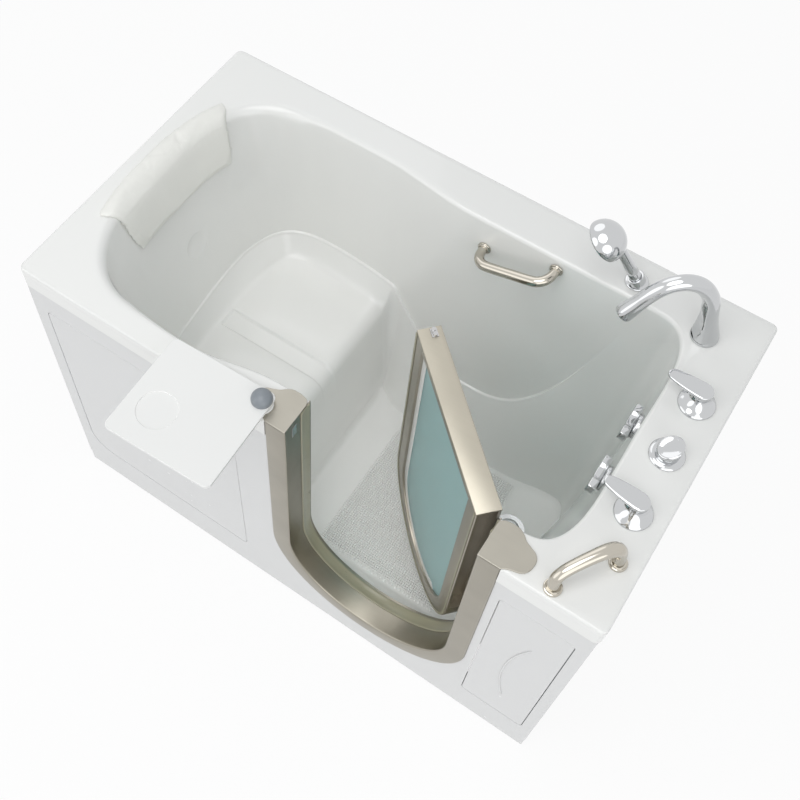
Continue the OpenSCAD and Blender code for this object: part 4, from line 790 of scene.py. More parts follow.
def u_sweep(name, profile, top, material, slot, body="tub", stands_for=(), sharp=32, put=lambda p: p):
    """A closed profile taken round the U of the doorway, with its grain along the U."""
    stations, k = doorway_steps(top), len(profile)
    points = round_doorway(profile, stations, put)
    girth = np.cumsum([0] + [math.dist(profile[j], profile[(j + 1) % k]) for j in range(k)]) * mm
    run = np.cumsum([0] + [math.dist(a, b) for a, b in zip(points[:-k:k], points[k::k])]) * mm
    grain = []
    for near, far in zip(run[:-1], run[1:]):
        for low, high in zip(girth[:-1], girth[1:]):
            grain += [(near, low), (near, high), (far, high), (far, low)]
    grain += [(0, at) for at in girth[:-1]] * 2
    obj = piece(name, points, hoops(len(stations), k), material, slot, body, stands_for, sharp)
    obj.data.uv_layers.new(name="grain").data.foreach_set("uv", [c for uv in grain for c in uv])
    return facing_out(obj)


jamb_front, jamb_back, jamb_r, jamb_outer_r = -372.5, -287.5, 205.0, 252.0
jamb_t, jamb_flange, bend_r, jamb_top = 2.0, 22.0, 4.0, 889.7
jamb_steel = brushed("jamb_steel", (0.37, 0.345, 0.29), 0.34, "UV", mottle=0.10)
near_bend, far_bend = [(r, jamb_front + bend_r) for r in (jamb_r + bend_r, jamb_outer_r - bend_r)]
jamb_profile = [(jamb_r, jamb_back), *round_corner(near_bend, bend_r, 180, 270),
                *round_corner(far_bend, bend_r, 270, 360), (jamb_outer_r, jamb_front + jamb_flange),
                (jamb_outer_r - jamb_t, jamb_front + jamb_flange),
                *round_corner(far_bend, bend_r - jamb_t, 360, 270),
                *round_corner(near_bend, bend_r - jamb_t, 270, 180), (jamb_r + jamb_t, jamb_back)]
u_sweep("jamb", jamb_profile, jamb_top, jamb_steel, "jamb_metal", stands_for=["door_jamb"])

seal_rubber = finish_of("olive_silicone", (0.42, 0.40, 0.28), 0.30, mottle=0.10, mottle_scale=15.0,
                        swing=0.08, bump=0.05, coat=0.2, Transmission_Weight=0.25)
lip_profile = [(204.7, -321.5), (202.8, -321.5), (202.1, -320.3), (202.1, -317.5), (203.3, -314.5),
               (203.5, -300.5), (202.1, -297.5), (202.1, -294.7), (202.8, -293.5), (204.7, -293.5)]
u_sweep("jamb_seal", lip_profile, jamb_top, seal_rubber, "seal", stands_for=["jamb_gasket"], sharp=60)

cap_steel = brushed("champagne_cap", (0.42, 0.40, 0.35), 0.36, "Object", mottle=0.08, streak=0.03, bump=0.06)


def cap_outline(side):
    """Outline of a jamb cap: a leg over the jamb, a waist, and a round tab over the deck."""
    leg = [(205, -372.4), (205, -345), (205, -318)]
    tab = [(205.3, -303), (207.3, -295), (212.8, -290), (221.5, -287.4), (230, -286.4), (245, -287.6),
           (256, -294), (264.5, -301.6), (276, -307), (288.5, -312.5), (295.5, -321), (297.5, -332),
           (295.6, -345), (290, -354.6), (282, -360), (272, -362.6), (263, -365.2), (256, -368.8),
           (250.5, -372.4)]
    return [(door_x + side * u, y) for u, y in leg + curve_through(tab, 4)]


tray_at, cap_low, cap_high = (-70.5, -346.5), 890.3, 893.3
plate("right_cap", cap_outline(1), cap_low, cap_high, 1.0, cap_steel, "cap_metal",
      stands_for=["right_jamb_cap"])
plate("left_cap", cap_outline(-1), cap_low, cap_high, 1.0, cap_steel, "cap_metal",
      stands_for=["left_jamb_cap"], tools=[rod("stem_hole", tray_at, 8.3, 880, 900)])

# Door
# A round-footed frame of brushed stainless steel holds a frosted glass pane with a white border
# printed on it. It hangs on two butt hinges, swings into the tub and latches at its top rail.
hinge_x, hinge_y, door_open = 410.0, -278.0, 42.6
door_front, door_back, rim_r, opening_r = -328.0, -278.0, 198.0, 156.0
pane_front, pane_back, pane_gap, pane_seat = -321.0, -313.0, 0.3, 8.3
opening_top, frame_top, rail_low, rail_top = 870.0, 883.7, 884.0, 890.0


def swung(p):
    """A point of the closed door, moved to where the open door has it."""
    c, s = unit(math.radians(-door_open))
    dx, dy = p[0] - hinge_x, p[1] - hinge_y
    return (hinge_x + c * dx - s * dy, hinge_y + s * dx + c * dy, p[2])


def block(name, low, high):
    """A plain closed box to cut the door with."""
    xs, ys, zs = zip(low, high)
    corners = [swung((x, y, z)) for x in xs for y in ys for z in zs]
    return cutter(name, corners, [(0, 1, 3, 2), (4, 6, 7, 5), (0, 4, 5, 1), (2, 3, 7, 6), (0, 2, 6, 4),
                                  (1, 5, 7, 3)])


door_steel = brushed("door_steel", (0.38, 0.35, 0.295), 0.30, "UV", mottle=0.10)
outer_round, inner_round = 3.0, 2.0
seat_front_y, seat_back_y = pane_front - pane_gap, pane_back + pane_gap
frame_profile = [*round_corner((opening_r + inner_round, door_front + inner_round), inner_round, 180, 270, 4),
                 *round_corner((rim_r - outer_round, door_front + outer_round), outer_round, 270, 360),
                 *round_corner((rim_r - outer_round, door_back - outer_round), outer_round, 0, 90),
                 *round_corner((opening_r + inner_round, door_back - inner_round), inner_round, 90, 180, 4),
                 (opening_r, seat_back_y), (opening_r + pane_seat, seat_back_y),
                 (opening_r + pane_seat, seat_front_y), (opening_r, seat_front_y)]
case_seat = ("case_seat", (9.2, -303.3, 873.7), (29.8, -288.7, 900))
door_frame = u_sweep("door_frame_form", frame_profile, frame_top, door_steel, "door_metal", "door",
                     stands_for=["door_frame"], put=swung)
cut_away(door_frame, [block("channel", (375.5, -321, 361), (402, -285, 900)), block(*case_seat)])
bar_half = opening_r + pane_gap
plate("door_top_bar", rectangle(door_x - bar_half, door_front, door_x + bar_half, door_back), opening_top,
      frame_top - 0.1, 1.5, door_steel, "door_metal", "door", put=swung)

champagne = brushed("champagne_rail", (0.47, 0.44, 0.37), 0.38, "Object", mottle=0.06, streak=0.03, bump=0.05)
door_top_rail = plate("door_top_rail_form", rectangle(door_x - rim_r, door_front, door_x + rim_r, door_back),
                      rail_low, rail_top, 1.4, champagne, "door_metal", "door", ["door_top_rail"], put=swung)
cut_away(door_top_rail, [block(*case_seat)])

frosted = finish_of("frosted_glass", (0.50, 0.75, 0.75), 0.36, mottle=0.05, mottle_scale=5.0, swing=0.06,
                    bump=0.10, bump_scale=700.0, Transmission_Weight=0.55, IOR=1.45)
points, faces = prism_y(doorway_outline(164.0, 878.0, 72), pane_front, pane_back)
pane = piece("glass_pane", [swung(p) for p in points], faces, frosted, "door_glass", "door", ["door_glass"])
cut_away(pane, [], edge=0.8)

printed_white = finish_of("printed_white", (0.83, 0.84, 0.82), 0.26, mottle=0.015, mottle_scale=12.0,
                          swing=0.04, bump=0.03, coat=0.2)
border_end = math.degrees(math.acos(105.0 / 146.0))
border_steps = doorway_steps(opening_top - 0.3, 360 - border_end, 72)
border_in, border_out, border_t = 136.2, 155.7, 1.0
points, faces = [], []
for low in (seat_front_y - border_t, seat_back_y):
    high = low + border_t
    faces += hoops(len(border_steps), 5, len(points))
    points += round_doorway([(border_out, low), (border_out, high), (border_in, high),
                             (border_in - 0.5, (low + high) / 2), (border_in, low)], border_steps, swung)
piece("glass_border_form", points, faces, printed_white, "border", "door", ["glass_border"], sharp=40)

seal_profile = [(196, -329.8), (196, -328.3), (190, -328.3), (190, -329.4), (191, -329.8), (193, -329.3),
                (195, -329.8)]
u_sweep("door_seal_form", seal_profile, rail_low, seal_rubber, "seal", "door", stands_for=["door_seal"],
        put=swung, sharp=60)

hinge_steel = finish_of("hinge_steel", (0.52, 0.52, 0.52), 0.24, metallic=1.0, mottle=0.06, mottle_scale=20.0,
                        swing=0.08, bump=0.05, bump_scale=500.0)
for fitting in ("door_hinge_leaves", "jamb_hinge_leaves", "hinge_pins", "latch_case", "latch_thumb",
                "latch_strike"):
    worked_copy(fitting, 1.2 if fitting == "latch_case" else 0.5, hinge_steel)


def lathe(profile, steps=48):
    """Points and faces of a profile of (radius, height) turned about Z; radius 0 closes an end."""
    points, faces, rows = [], [], []
    for r, z in profile:
        rows.append(len(points))
        if r == 0:
            points.append((0.0, 0.0, z))
        else:
            points += [(r * math.cos(a), r * math.sin(a), z) for a in full_turn(steps)]
    for (a, b), (r, _), (next_r, _) in zip(zip(rows[:-1], rows[1:]), profile[:-1], profile[1:]):
        for k in range(steps):
            m = (k + 1) % steps
            if r == 0:
                faces.append((a, b + m, b + k))
            elif next_r == 0:
                faces.append((a + k, a + m, b))
            else:
                faces.append((a + k, a + m, b + m, b + k))
    return points, faces


def joined(name, parts, material, slot, body="tub", stands_for=(), sharp=32):
    """One piece from several closed shapes, each given as (points, faces)."""
    points, faces = [], []
    for part_points, part_faces in parts:
        faces += [tuple(i + len(points) for i in face) for face in part_faces]
        points += list(part_points)
    return piece(name, points, faces, material, slot, body, stands_for, sharp)


screw_profile = [(0, -0.5), (3.4, -0.5), (3.4, 0.15), (2.6, 0.55), (0.9, 0.75), (0.8, 0.2), (0, 0.2)]
screw, screw_faces = lathe(screw_profile, 20)
screws = [([swung((x + a, -275.15 + c, z + b)) for a, b, c in screw], screw_faces)
          for z in (391, 413, 435, 791, 813, 835) for x in (380.5, 392.0)]
joined("hinge_screws", screws, hinge_steel, "hardware", "door")

# Headrest
# A soft foam pad in one piece, skinned in smooth off-white vinyl. It hooks over the rim and
# hangs down the backrest, crowned in its middle and drawn in at its sides and corners.
pad_vinyl = finish_of("pad_vinyl", (0.94, 0.935, 0.885), 0.46, mottle=0.025, mottle_scale=9.0, swing=0.06,
                      bump=0.16, bump_scale=420.0)
head_rim = sorted((edge[1], tuple(edge), lean) for (edge, j, *_), lean in zip(stations, wall_lean)
                  if j == 0 and edge[0] < head_x - 1e-6 and abs(edge[1] - hub_y) < 260)
rim_run = [0.0]
for before, after in zip(head_rim[:-1], head_rim[1:]):
    rim_run.append(rim_run[-1] + math.dist(before[1], after[1]))
pad_low, pad_high = np.interp((-178, 207), [p[0] for p in head_rim], rim_run)
pad_back, pad_drop, pad_roll, pad_edge, pad_crown, pad_swell = 19.0, 130.0, 24.0, 6.0, 5.2, 5.0


def rim_point(s):
    """The rim's edge at s from 0 to 1 along the pad, the direction into the tub, and the wall's lean."""
    along = mix(pad_low, pad_high, s)
    at = np.array([np.interp(along, rim_run, [p[1][k] for p in head_rim]) for k in (0, 1)])
    into = np.array([head_x, hub_y]) - at
    return at, into / np.linalg.norm(into), np.interp(along, rim_run, [p[2] for p in head_rim])


def over_rim(lean):
    """The pad's path over the rim and down a wall that leans so much: (in, height, and its normal)."""
    over = [(-pad_back * (1 - t), deck_z, 0.0, 1.0) for t in (0.0, 0.4, 0.8)]
    over += [(pad_roll * math.sin(a), deck_z - pad_roll * (1 - math.cos(a)), math.sin(a), math.cos(a))
             for a in arc(0, 77.6, 8)]
    size = math.hypot(1, lean)
    for u in np.linspace(0, 1, 11)[1:]:
        drop = u * (pad_drop - pad_roll)
        over.append((pad_roll + drop * lean, deck_z - pad_roll - drop, 1 / size, lean / size))
    return over


columns, rows_in = 41, len(over_rim(0.2))
inner, outer = [], []
for c in range(columns):
    v = 2 * c / (columns - 1) - 1
    for m in range(rows_in):
        u = 2 * m / (rows_in - 1) - 1
        reach = 1 - 0.045 * max(0.0, (abs(u) - 0.55) / 0.45) ** 2
        flare = 0.06 * max(0.0, v) * max(0.0, u)
        at, into, lean = rim_point(0.5 + v * (reach + flare) / 2)
        d, z, nd, nz = over_rim(lean)[m]
        tall = (1 - abs(u) ** 5) ** 0.5 * (1 - abs(v) ** 8) ** 0.5
        under = 1.0 if m < 11 else 2.6
        for skin, t in ((inner, under), (outer, under + pad_edge + pad_crown * tall)):
            skin.append((*(at + into * (d + nd * t)), z + nz * t))
half, faces = len(inner), []
for a in [c * rows_in + m for c in range(columns - 1) for m in range(rows_in - 1)]:
    faces.append((a, a + rows_in, a + rows_in + 1, a + 1))
    faces.append((half + a, half + a + 1, half + a + rows_in + 1, half + a + rows_in))
for a in [c * rows_in + m for c in range(columns - 1) for m in (0, rows_in - 1)]:
    faces.append((a, a + rows_in, half + a + rows_in, half + a))
for a in [c * rows_in + m for m in range(rows_in - 1) for c in (0, columns - 1)]:
    faces.append((a, a + 1, half + a + 1, half + a))
pad = piece("headrest_pad", inner + outer, faces, pad_vinyl, "pad", stands_for=["headrest"], sharp=180)
facing_out(pad)
remesh = pad.modifiers.new("even_skin", "REMESH")
remesh.mode = "VOXEL"
remesh.voxel_size = 4.0 * mm
eased = pad.modifiers.new("eased_edges", "SMOOTH")
eased.factor = 0.5
eased.iterations = 5
applied(pad, 180)
rest_shape = np.array([v.co[:] for v in pad.data.vertices])
cloth = pad.modifiers.new("swelling", "CLOTH")
cloth.settings.use_pressure = True
cloth.settings.uniform_pressure_force = 4.0
cloth.settings.effector_weights.gravity = 0.0
cloth.settings.tension_stiffness = cloth.settings.compression_stiffness = 15.0
cloth.settings.quality = 5
cloth.point_cache.frame_start = 1
cloth.point_cache.frame_end = 20
for step in range(1, 21):
    scene.frame_set(step)
applied(pad, 180)
scene.frame_set(1)
moved = np.array([v.co[:] for v in pad.data.vertices]) - rest_shape
length = np.linalg.norm(moved, axis=1, keepdims=True)
moved = moved * np.minimum(1.0, pad_swell * mm / np.maximum(length, 1e-9))
shell_tree = BVHTree.FromObject(tub_shell, bpy.context.evaluated_depsgraph_get())
for i, at in enumerate(rest_shape):
    gap = shell_tree.find_nearest(Vector(at))[3]
    moved[i] *= min(1.0, max(0.0, (gap - 3 * mm) / (9 * mm)))
pad.data.vertices.foreach_set("co", (rest_shape + moved).ravel())
pad.data.update()
skin = pad.modifiers.new("smooth_skin", "SUBSURF")
skin.levels = skin.render_levels = 1
applied(pad, 180)

# Side tray
# A moulded white plastic tray with a round recess turns on a post that stands on the left
# jamb cap. A domed grey knob on the post's top clamps it.
tray_turn, tray_low, tray_high = 2.0, 904.0, 912.0
tray_white = finish_of("tray_white", (0.91, 0.91, 0.89), 0.24, mottle=0.012, mottle_scale=6.0, swing=0.04,
                       bump=0.03, bump_scale=120.0, coat=0.2)


def placed(points, origin, turn_z=0.0, lean_x=0.0, lean_y=0.0):
    """Points leaned about X or Y, turned about Z and moved to their place."""
    turns = [Matrix.Rotation(math.radians(by), 3, axis)
             for by, axis in ((turn_z, "Z"), (lean_y, "Y"), (lean_x, "X"))]
    turn = turns[0] @ turns[1] @ turns[2]
    return [tuple(np.array(origin) + np.array(turn @ Vector(p))) for p in points]


def moved_to(origin, parts, turn_z=0.0, lean_y=0.0):
    """Closed shapes, each (points, faces), turned and moved to their place."""
    return [(placed(points, origin, turn_z, lean_y=lean_y), faces) for points, faces in parts]


def on_tray(p):
    """A point of the tray's own frame, turned with it on its post."""
    return placed([p], (*tray_at, 0), tray_turn)[0]


plate("tray_form", rounded_outline((-216, -201.3), (20, 23), (13, 13, 13, 13), steps=9), tray_low, tray_high,
      2.2, tray_white, "tray_plastic", "tray", ["tray"], put=on_tray,
      tools=[rod("spindle_hole", tray_at, 6.3, 890, 920, 32),
             rod("recess", on_tray((-150, -122, 0))[:2], 40, 910, 920, 72)])
post = lathe([(0, 858), (8, 858), (8, 893.5), (21.2, 893.6), (22, 894.4), (22, 896.4), (21, 897.4),
              (16.4, 897.8), (15, 899), (15, 903), (14.4, 903.6), (6, 903.7), (6, 927.4), (5.4, 928),
              (0, 928)])
joined("tray_post", moved_to((*tray_at, 0), [post]), tray_white, "tray_plastic", stands_for=["tray_pivot"])
knob_grey = finish_of("knob_grey", (0.25, 0.275, 0.30), 0.36, mottle=0.05, mottle_scale=30.0, swing=0.06,
                      bump=0.12, bump_scale=900.0, coat=0.15)
dome_line = [(21 * math.cos(a), 916.6 + 17.6 * math.sin(a)) for a in arc(4, 86, 12)]
knob = lathe([(6.3, 912.3), (20.2, 912.3), (21, 913), (21, 915.4), (20.6, 916), *dome_line, (0, 934.3)], 64)
bore, bore_faces = lathe([(6.3, 912.3), (6.3, 928.5), (0, 928.5)], 64)
joined("tray_knob_form", moved_to((*tray_at, 0), [knob, (bore, [face[::-1] for face in bore_faces])]),
       knob_grey, "knob_plastic", "tray_knob", ["tray_knob"])

# Grab bars
# Polished nickel-plated brass: a curved bar on two collared feet on the deck, which swells
# towards its rear foot, and a straight bar with round flanges on the back wall.
nickel = finish_of("polished_nickel", (0.52, 0.49, 0.43), 0.10, metallic=1.0, mottle=0.03, mottle_scale=6.0,
                   swing=0.03, bump=0.015, bump_scale=150.0)


def footed(bar, foot, bolt_low, reach):
    """A bar from 0 to its reach along X, with a turned foot and a bolt at each end."""
    parts = [bar]
    for x in (0, reach):
        for points, faces in (lathe(foot), lathe([(0, bolt_low), (4, bolt_low), (4, 0.5), (0, 0.5)], 20)):
            parts.append(([(a + x, b, c) for a, b, c in points], faces))
    return parts


deck_foot = [(0, 0.3), (16.4, 0.3), (17, 0.9), (17, 4.6), (16.4, 5.6), (14.6, 6.2), (14, 7.2), (13.9, 8.6),
             (13.2, 9.4), (0, 9.4)]
deck_bar_line = curve_through([(0, 0, 4, 11), (0, 0, 14, 11), (4, 0, 30, 11.2), (18, 0, 42.5, 11.4),
                               (42, 0, 50.5, 11.8), (70, 0, 56, 12.3), (96, 0, 57.5, 13.4), (114, 0, 51, 14),
                               (123.5, 0, 36, 13), (126, 0, 18, 11.4), (126, 0, 4, 11.2)])
bar, bar_faces = tube(deck_bar_line, 36, (0, 1, 0))
bar = placed(bar, (0, 0, 5.3), lean_x=-10)
joined("deck_bar", moved_to((545, -349.5, deck_z), footed((bar, bar_faces), deck_foot, -34, 126), 55), nickel,
       "nickel", stands_for=["deck_grab_bar"])

wall_foot = [(0, 0), (14.6, 0), (15, 0.6), (15, 3), (14.2, 4), (12.4, 4.6), (11.6, 6), (11.4, 8), (0, 8)]
wall_reach, wall_turn, wall_y = 170, math.radians(17.2), 262.65
half_bar = [(0, 0, 2, 10), (0, 0, 12, 10.2), (1.6, 0, 24, 10.6), (7, 0, 35, 10.9), (17, 0, 43.5, 11),
            (32, 0, 47.6, 11)]
other_half = [(wall_reach - x, y, z, r) for x, y, z, r in half_bar[::-1]]
bar = tube(curve_through(half_bar + [(85, 0, 48, 11)] + other_half), 36, (0, 1, 0))
c, s = unit(wall_turn)
parts = [([(67 + x * c - y * s, wall_y - z, 810 + x * s + y * c) for x, y, z in points], faces)
         for points, faces in footed(bar, wall_foot, -26, wall_reach)]
facing_out(joined("wall_bar", parts, nickel, "nickel", stands_for=["wall_grab_bar"]))
brass = finish_of("plain_brass", (0.62, 0.45, 0.20), 0.3, metallic=1.0, mottle=0.08, mottle_scale=30.0,
                  swing=0.08, bump=0.05)
finish_node("fixing_nuts", brass)

# Spout and hand shower
# Chrome-plated cast brass. The spout's column carries a leaf-shaped facet and runs into a wide
# arch that flares to its outlet. The hand shower is plated plastic and leans in a brass cup.
chrome = finish_of("chrome_plate", (0.58, 0.59, 0.60), 0.07, metallic=1.0, mottle=0.02, mottle_scale=5.0,
                   swing=0.02, bump=0.01, bump_scale=120.0)
spray_grey = finish_of("spray_grey", (0.42, 0.43, 0.44), 0.40, mottle=0.05, mottle_scale=30.0, swing=0.06,
                       bump=0.08, bump_scale=700.0)


def swept(sections, sides=48):
    """Points and faces through rings of (centre, ahead, way, reach), where reach(angle) is a radius."""
    points = []
    for centre, ahead, way, reach in sections:
        way = np.array(way, float)
        over = np.cross(np.array(ahead, float), way)
        for a in full_turn(sides):
            r = reach(a)
            points.append(np.array(centre, float) + way * math.cos(a) * r + over * math.sin(a) * r)
    return points, hoops(len(sections), sides)


def column_reach(r, cut):
    """A round section with a facet of depth cut on its inner side."""
    return lambda a: min(r, (r - cut) / math.cos(a)) if math.cos(a) > 0.05 and cut > 0 else r


arch = curve_through([(0, 0.3, 27.4), (0, 1.2, 28), (0, 6, 28), (0.8, 9, 27.2), (3, 20, 25.6),
                      (6.5, 36, 23.4), (10.2, 54, 21.2), (14.5, 78, 18.8), (18.6, 103, 17.3),
                      (24.5, 128, 16.6), (35.5, 150, 16.1), (51, 170, 15.8), (70, 183, 15.5),
                      (91, 187, 15.3), (114, 180.5, 15.2), (134, 162.6, 15.2), (149.8, 139.4, 15.3)], 3)
tip_at, tip_way, side = [np.array(v) for v in ((149.8, 0, 139.4), (0.487, 0, -0.8734), (-0.8734, 0, -0.487))]
facet_low, facet_run, facet_deep = 9, 92, 8.5
sections = []
for i, (x, z, r) in enumerate(arch):
    before, after = arch[max(i - 1, 0)], arch[min(i + 1, len(arch) - 1)]
    ahead = np.array([after[0] - before[0], 0, after[1] - before[1]])
    ahead /= np.linalg.norm(ahead)
    if z < 8 and x < 20:
        ahead = np.array([0, 0, 1])
    elif i == len(arch) - 1:
        ahead = tip_way
    t = (z - facet_low) / facet_run
    cut = facet_deep * math.sin(math.pi * t) ** 0.8 if 0 < t < 1 and x < 40 else 0.0
    sections.append(((x, 0, z), ahead, (ahead[2], 0, -ahead[0]), column_reach(r, cut)))
for out, r in ((6, 15.5), (14, 15.8), (24, 16.4), (36, 17.3), (48, 18.1), (57, 18.5), (59.4, 18.3),
               (60, 17.4), (60, 15.2), (58.6, 14.6), (48, 14.5)):
    sections.append((tip_at + tip_way * out, tip_way, side, column_reach(r, 0)))
spout_at, spout_turn = (546, 266.5, deck_z), 216
shank = lathe([(0, -60), (13, -60), (13, 0.4), (0, 0.4)], 32)
joined("spout_form", moved_to(spout_at, [swept(sections, 56), shank], spout_turn), chrome, "chrome",
       stands_for=["spout"], sharp=26)
straightener = []
for row in range(-4, 5):
    for col in range(-4, 5):
        u, v = col * 2.9 + (row % 2) * 1.45, row * 2.5
        if math.hypot(u, v) < 12.6:
            at = tip_at + tip_way * 48.4 + side * u + np.array([0, 1, 0]) * v
            straightener.append(swept([(at, tip_way, side, column_reach(0.95, 0)),
                                       (at + tip_way * 2.4, tip_way, side, column_reach(0.75, 0))], 6))
joined("spout_aerator", moved_to(spout_at, straightener, spout_turn), spray_grey, "spray_face")

holder_at, cup_at, shower_turn, shower_lean = (381, 306.5, deck_z), (381, 291.5, 918), 208, 30
cup = lathe([(12.3, -9), (15.6, -9), (16.3, -8.2), (16.3, 8.2), (15.6, 9), (12.9, 9), (12.3, 8.4),
             (12.3, -9)])
base = lathe([(0, 0.3), (23.2, 0.3), (24, 1), (24, 3.6), (23, 5), (19, 5.8), (12, 7.6), (9.6, 10), (9, 14),
              (9, 28), (8, 30), (0, 30)])
thread = lathe([(0, -46), (12, -46), (12, 0.5), (0, 0.5)], 32)
arm = tube([(381, 306.5, 915, 6.4), (381, 303, 915, 6.2), (381, 296, 915, 6.0)], 24)
joined("shower_holder_form", moved_to(cup_at, [cup], shower_turn, shower_lean)
       + moved_to(holder_at, [base, thread]) + [arm], chrome, "chrome", stands_for=["shower_holder"])
grip = lathe([(0, -14), (10.6, -14), (11.6, -13.4), (12, -12.4), (12, 10), (12, 25), (11.4, 26), (11.2, 27),
              (11.7, 28), (11.3, 50), (10.4, 80), (9.8, 110), (10.2, 128), (11.6, 136), (0, 140)])
head_r, head_deep = 43, 39.6
dome_line = [(head_r * math.sin(t), 20 - head_deep * math.cos(t))
             for t in np.radians([0, 6, 13, 21, 30, 39, 48, 57, 66, 74, 81, 86, 90])]
dome = lathe(dome_line + [(43, 21.6), (42.4, 23.4), (41, 24), (38.6, 24), (38.3, 22.8), (0, 22.8)], 72)
nod = Matrix.Rotation(math.radians(20), 3, "Y") @ Matrix.Rotation(math.radians(90), 3, "Y")


def on_head(parts):
    """Shapes of the head's own frame, whose Z is the way the water leaves, in the grip's frame."""
    return [([tuple(np.array((0, 0, 148)) + np.array(nod @ Vector(p))) for p in points], faces)
            for points, faces in parts]


joined("hand_shower_form", moved_to(cup_at, [grip] + on_head([dome]), shower_turn, shower_lean), chrome,
       "chrome", "hand_shower", ["hand_shower"], sharp=40)
jets = [lathe([(0, 24.3), (37.4, 24.3), (38, 24.8), (37.2, 26), (30, 26.6), (0, 26.8)], 64)]
jet, jet_faces = lathe([(1.7, 25.6), (1.6, 27.2), (1.1, 28.0), (0, 28.2)], 10)
for r, n in ((6, 5), (14, 10), (22, 16), (29, 20), (34.5, 26)):
    for k in range(n):
        a = 2 * math.pi * (k + 0.5 * (r > 10)) / n
        jets.append(([(x + r * math.cos(a), y + r * math.sin(a), z) for x, y, z in jet], jet_faces))
joined("shower_jets", moved_to(cup_at, on_head(jets), shower_turn, shower_lean), spray_grey, "spray_face",
       "hand_shower", ["shower_face"])

# Taps and diverter
# Hot and cold valves under chrome domes are turned by broad flat levers. The diverter between
# them has a round knob with a slanted top. Copper tubes feed them from below.
tap_row_x, lever_z = 597, 922.4
bell = lathe([(0, 0.3), (35.2, 0.3), (36, 1.2), (36, 3.6), (35.2, 5.2), (33, 7.2), (28, 11), (22.5, 15.6),
              (18, 20.6), (15.2, 25.4), (13.4, 29.6), (12.2, 31.6), (11, 32), (7, 32), (7, 43.6), (6.4, 44),
              (0, 44)], 72)
valve = lathe([(0, -95), (20, -95), (21, -94), (21, -51), (20, -50), (15, -50), (15, 0.4), (0, 0.4)], 32)
blade_back, blade_tip, blade_half, tip_half, bulge = -19, 72, 19, 12.6, 1.2
back_end, tip_start = 0.22, 0.86


def blade_section(t):
    """Middle x, half width, lowest and highest z of the lever at t from its back to its tip."""
    if t < back_end:
        wide = blade_half * math.sqrt(max(0.0, 1 - ((t - back_end) / back_end) ** 2))
    else:
        along = (t - back_end) / (tip_start - back_end)
        wide = mix(blade_half, tip_half, along) + bulge * math.sin(math.pi * min(1.0, along))
    if t > tip_start:
        wide *= math.sqrt(max(0.0, 1 - ((t - tip_start) / (1 - tip_start)) ** 2))
    return (mix(blade_back, blade_tip, t), max(wide, 0.4), mix(7.0, 9.5, ease(t / 0.5)),
            mix(20.0, 15.5, ease((t - 0.1) / 0.9)))


def lever(name, at, turn, body, node):
    """A broad flat lever with a hub that fits on a valve's spindle."""
    points, around = [], 40
    stops = [0.0, 0.006, 0.02, 0.045, 0.08, 0.12, 0.17, 0.22, 0.3, 0.38, 0.46, 0.54, 0.62, 0.7, 0.78, 0.86,
             0.9, 0.935, 0.965, 0.985, 0.997, 1.0]
    for t in stops:
        x, wide, low, high = blade_section(t)
        mid, half = (low + high) / 2, (high - low) / 2 * mix(0.35, 1.0, min(1.0, wide / 8))
        points += [(x, wide * bend(math.cos(a), 3.2), mid + half * bend(math.sin(a), 4.5))
                   for a in full_turn(around)]
    hub = lathe([(7.3, 0.2), (16.4, 0.2), (17.4, 1), (17.8, 4), (18.2, 9), (18.2, 14), (7.3, 14),
                 (7.3, 0.2)], 56)
    parts = moved_to((*at, lever_z), [(points, hoops(len(stops), around)), hub], turn)
    facing_out(joined(name, parts, chrome, "chrome", body, [node], sharp=38))


for name, at, turn in (("hot", (tap_row_x, 120), 176), ("cold", (tap_row_x, -146), 173)):
    joined(name + "_valve_form", moved_to((*at, deck_z), [bell, valve]), chrome, "chrome",
           stands_for=[name + "_valve"])
    lever(name + "_lever_form", at, turn, name + "_handle", name + "_handle")

diverter_at = (tap_row_x, -9, deck_z)
rose = lathe([(0, 0.3), (33.2, 0.3), (34, 1.1), (34, 3.4), (33.2, 4.6), (31, 6.4), (29, 7.6), (27, 8), (8, 8),
              (8, 21.6), (7.4, 22), (0, 22)], 72)
joined("diverter_base", moved_to(diverter_at, [rose, valve]), chrome, "chrome",
       stands_for=["diverter_valve"])
slope, knob_r, around = math.tan(math.radians(28)), 23, 64
upright_rings = [(22.2, 8.6), (knob_r, 9.4), (knob_r, 12), (22.8, 15), (knob_r, 28)]
slanted_rings = [(22.8, -1.4), (21.6, -0.2), (19, 0), (17.4, -0.9), (12, -2.0), (5, -2.4)]
points = []
for r, z in upright_rings:
    points += [(r * math.cos(a), r * math.sin(a), min(z, 18 + (r * math.cos(a) + knob_r) * slope))
               for a in full_turn(around)]
for r, z in slanted_rings:
    points += [(r * math.cos(a), r * math.sin(a), 20 + (r * math.cos(a) + knob_r) * slope + z)
               for a in full_turn(around)]
rings = len(upright_rings) + len(slanted_rings)
diverter = joined("diverter_knob_form", moved_to(diverter_at, [(points, hoops(rings, around))], 40), chrome,
                  "chrome", "diverter_knob", ["diverter_knob"], sharp=40)
cut_away(diverter, [rod("spindle_hole", diverter_at[:2], 8.3, 880, 913, 32)], sharp=40)
copper = finish_of("copper_tube", (0.72, 0.36, 0.22), 0.28, metallic=1.0, mottle=0.10, mottle_scale=12.0,
                   swing=0.10, bump=0.04)
finish_node("supply_tubes", copper)

# Overflows, drains and waste pipes
# Two chrome overflow plates in the tap-end wall carry turn handles, which lift the chrome
# plugs of the two floor drains by cables inside the white plastic waste pipes.
tilt = math.radians(5.849)
overflow_x, overflow_z, overflow_ys = 525.29, 815, {"rear": 58, "front": -75}


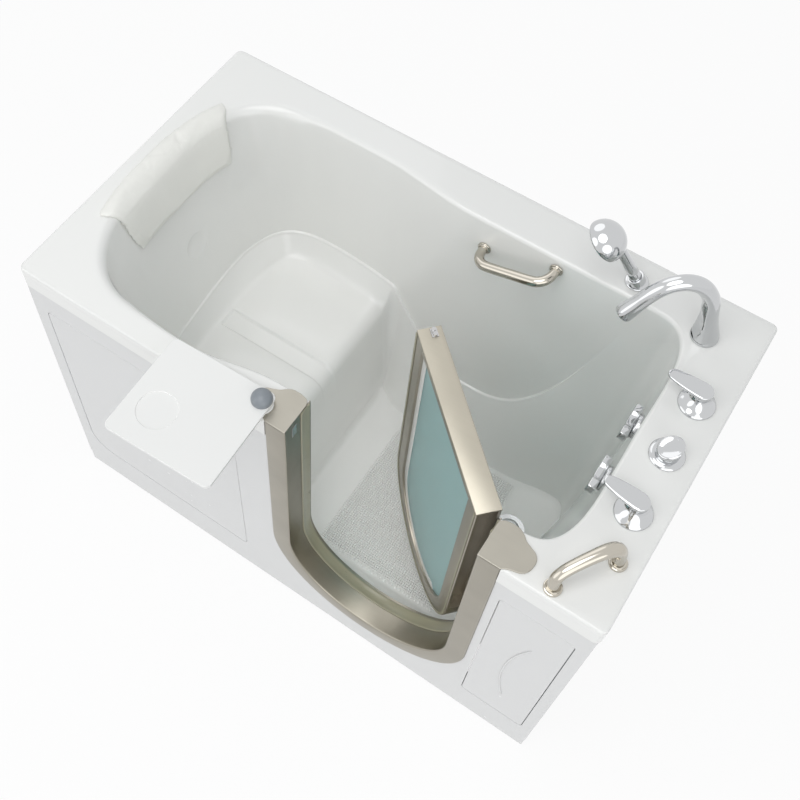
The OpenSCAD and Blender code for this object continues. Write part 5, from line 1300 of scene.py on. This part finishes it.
def at_overflow(p, y):
    """A point in an overflow's own frame (z into the wall), moved to its place."""
    return (overflow_x - p[0] * math.sin(tilt) + p[2] * math.cos(tilt), y + p[1],
            overflow_z - p[0] * math.cos(tilt) - p[2] * math.sin(tilt))


dish, dish_faces = lathe([(0, -15), (4.6, -15), (5, -14.4), (5, -6.6), (24.6, -6), (26.2, -5.2), (27, -3.8),
                          (27, 0), (12.8, 0), (12.8, 5.8), (0, 5.8)], 56)
parts = [([at_overflow(p, y) for p in dish], dish_faces) for y in overflow_ys.values()]
facing_out(joined("overflow_plates_form", parts, chrome, "chrome", stands_for=["overflow_plates"]))
left_side = [(-8.4, 0), (-8.8, 9), (-9.6, 14.5), (-12.4, 17), (-13, 20), (-13, 35), (-12, 37.8), (-9.4, 39)]
upper_half = left_side + [(-x, y) for x, y in left_side[::-1]]
bone = upper_half + [(-x, -y) for x, y in upper_half[1:-1]]
bore, bore_faces = lathe([(0, -16), (5.3, -16), (5.3, 4), (0, 4)], 32)
for name, y in overflow_ys.items():
    handle = plate(name + "_overflow_handle", bone, -23, -7, 2.0, chrome, "chrome", name + "_knob",
                   [name + "_overflow_knob"], put=lambda p, y=y: at_overflow(p, y))
    cut_away(handle, [cutter("spindle_hole", [at_overflow(p, y) for p in bore], bore_faces)])

worked_copy("drain_flanges", 0.7, chrome)
plug = lathe([(0, 81), (2.6, 81), (3, 81.5), (3, 108.6), (28.2, 108.6), (29, 109.2), (28.6, 110.6),
              (26.4, 112.4), (22, 113.2), (15, 113.5), (5.2, 113.6), (4.8, 113.2), (4.2, 113.2),
              (0, 113.4)], 56)
for name, y in drain_ys.items():
    joined(name + "_plug_form", moved_to((drain_x, y, 0), [plug]), chrome, "chrome", name + "_plug",
           [name + "_drain_plug"])
waste_white = finish_of("waste_pipe_white", (0.72, 0.72, 0.70), 0.35, mottle=0.03, mottle_scale=12.0,
                        swing=0.06, bump=0.05)
finish_node("rear_waste_pipe", waste_white)
finish_node("front_waste_pipe", waste_white)
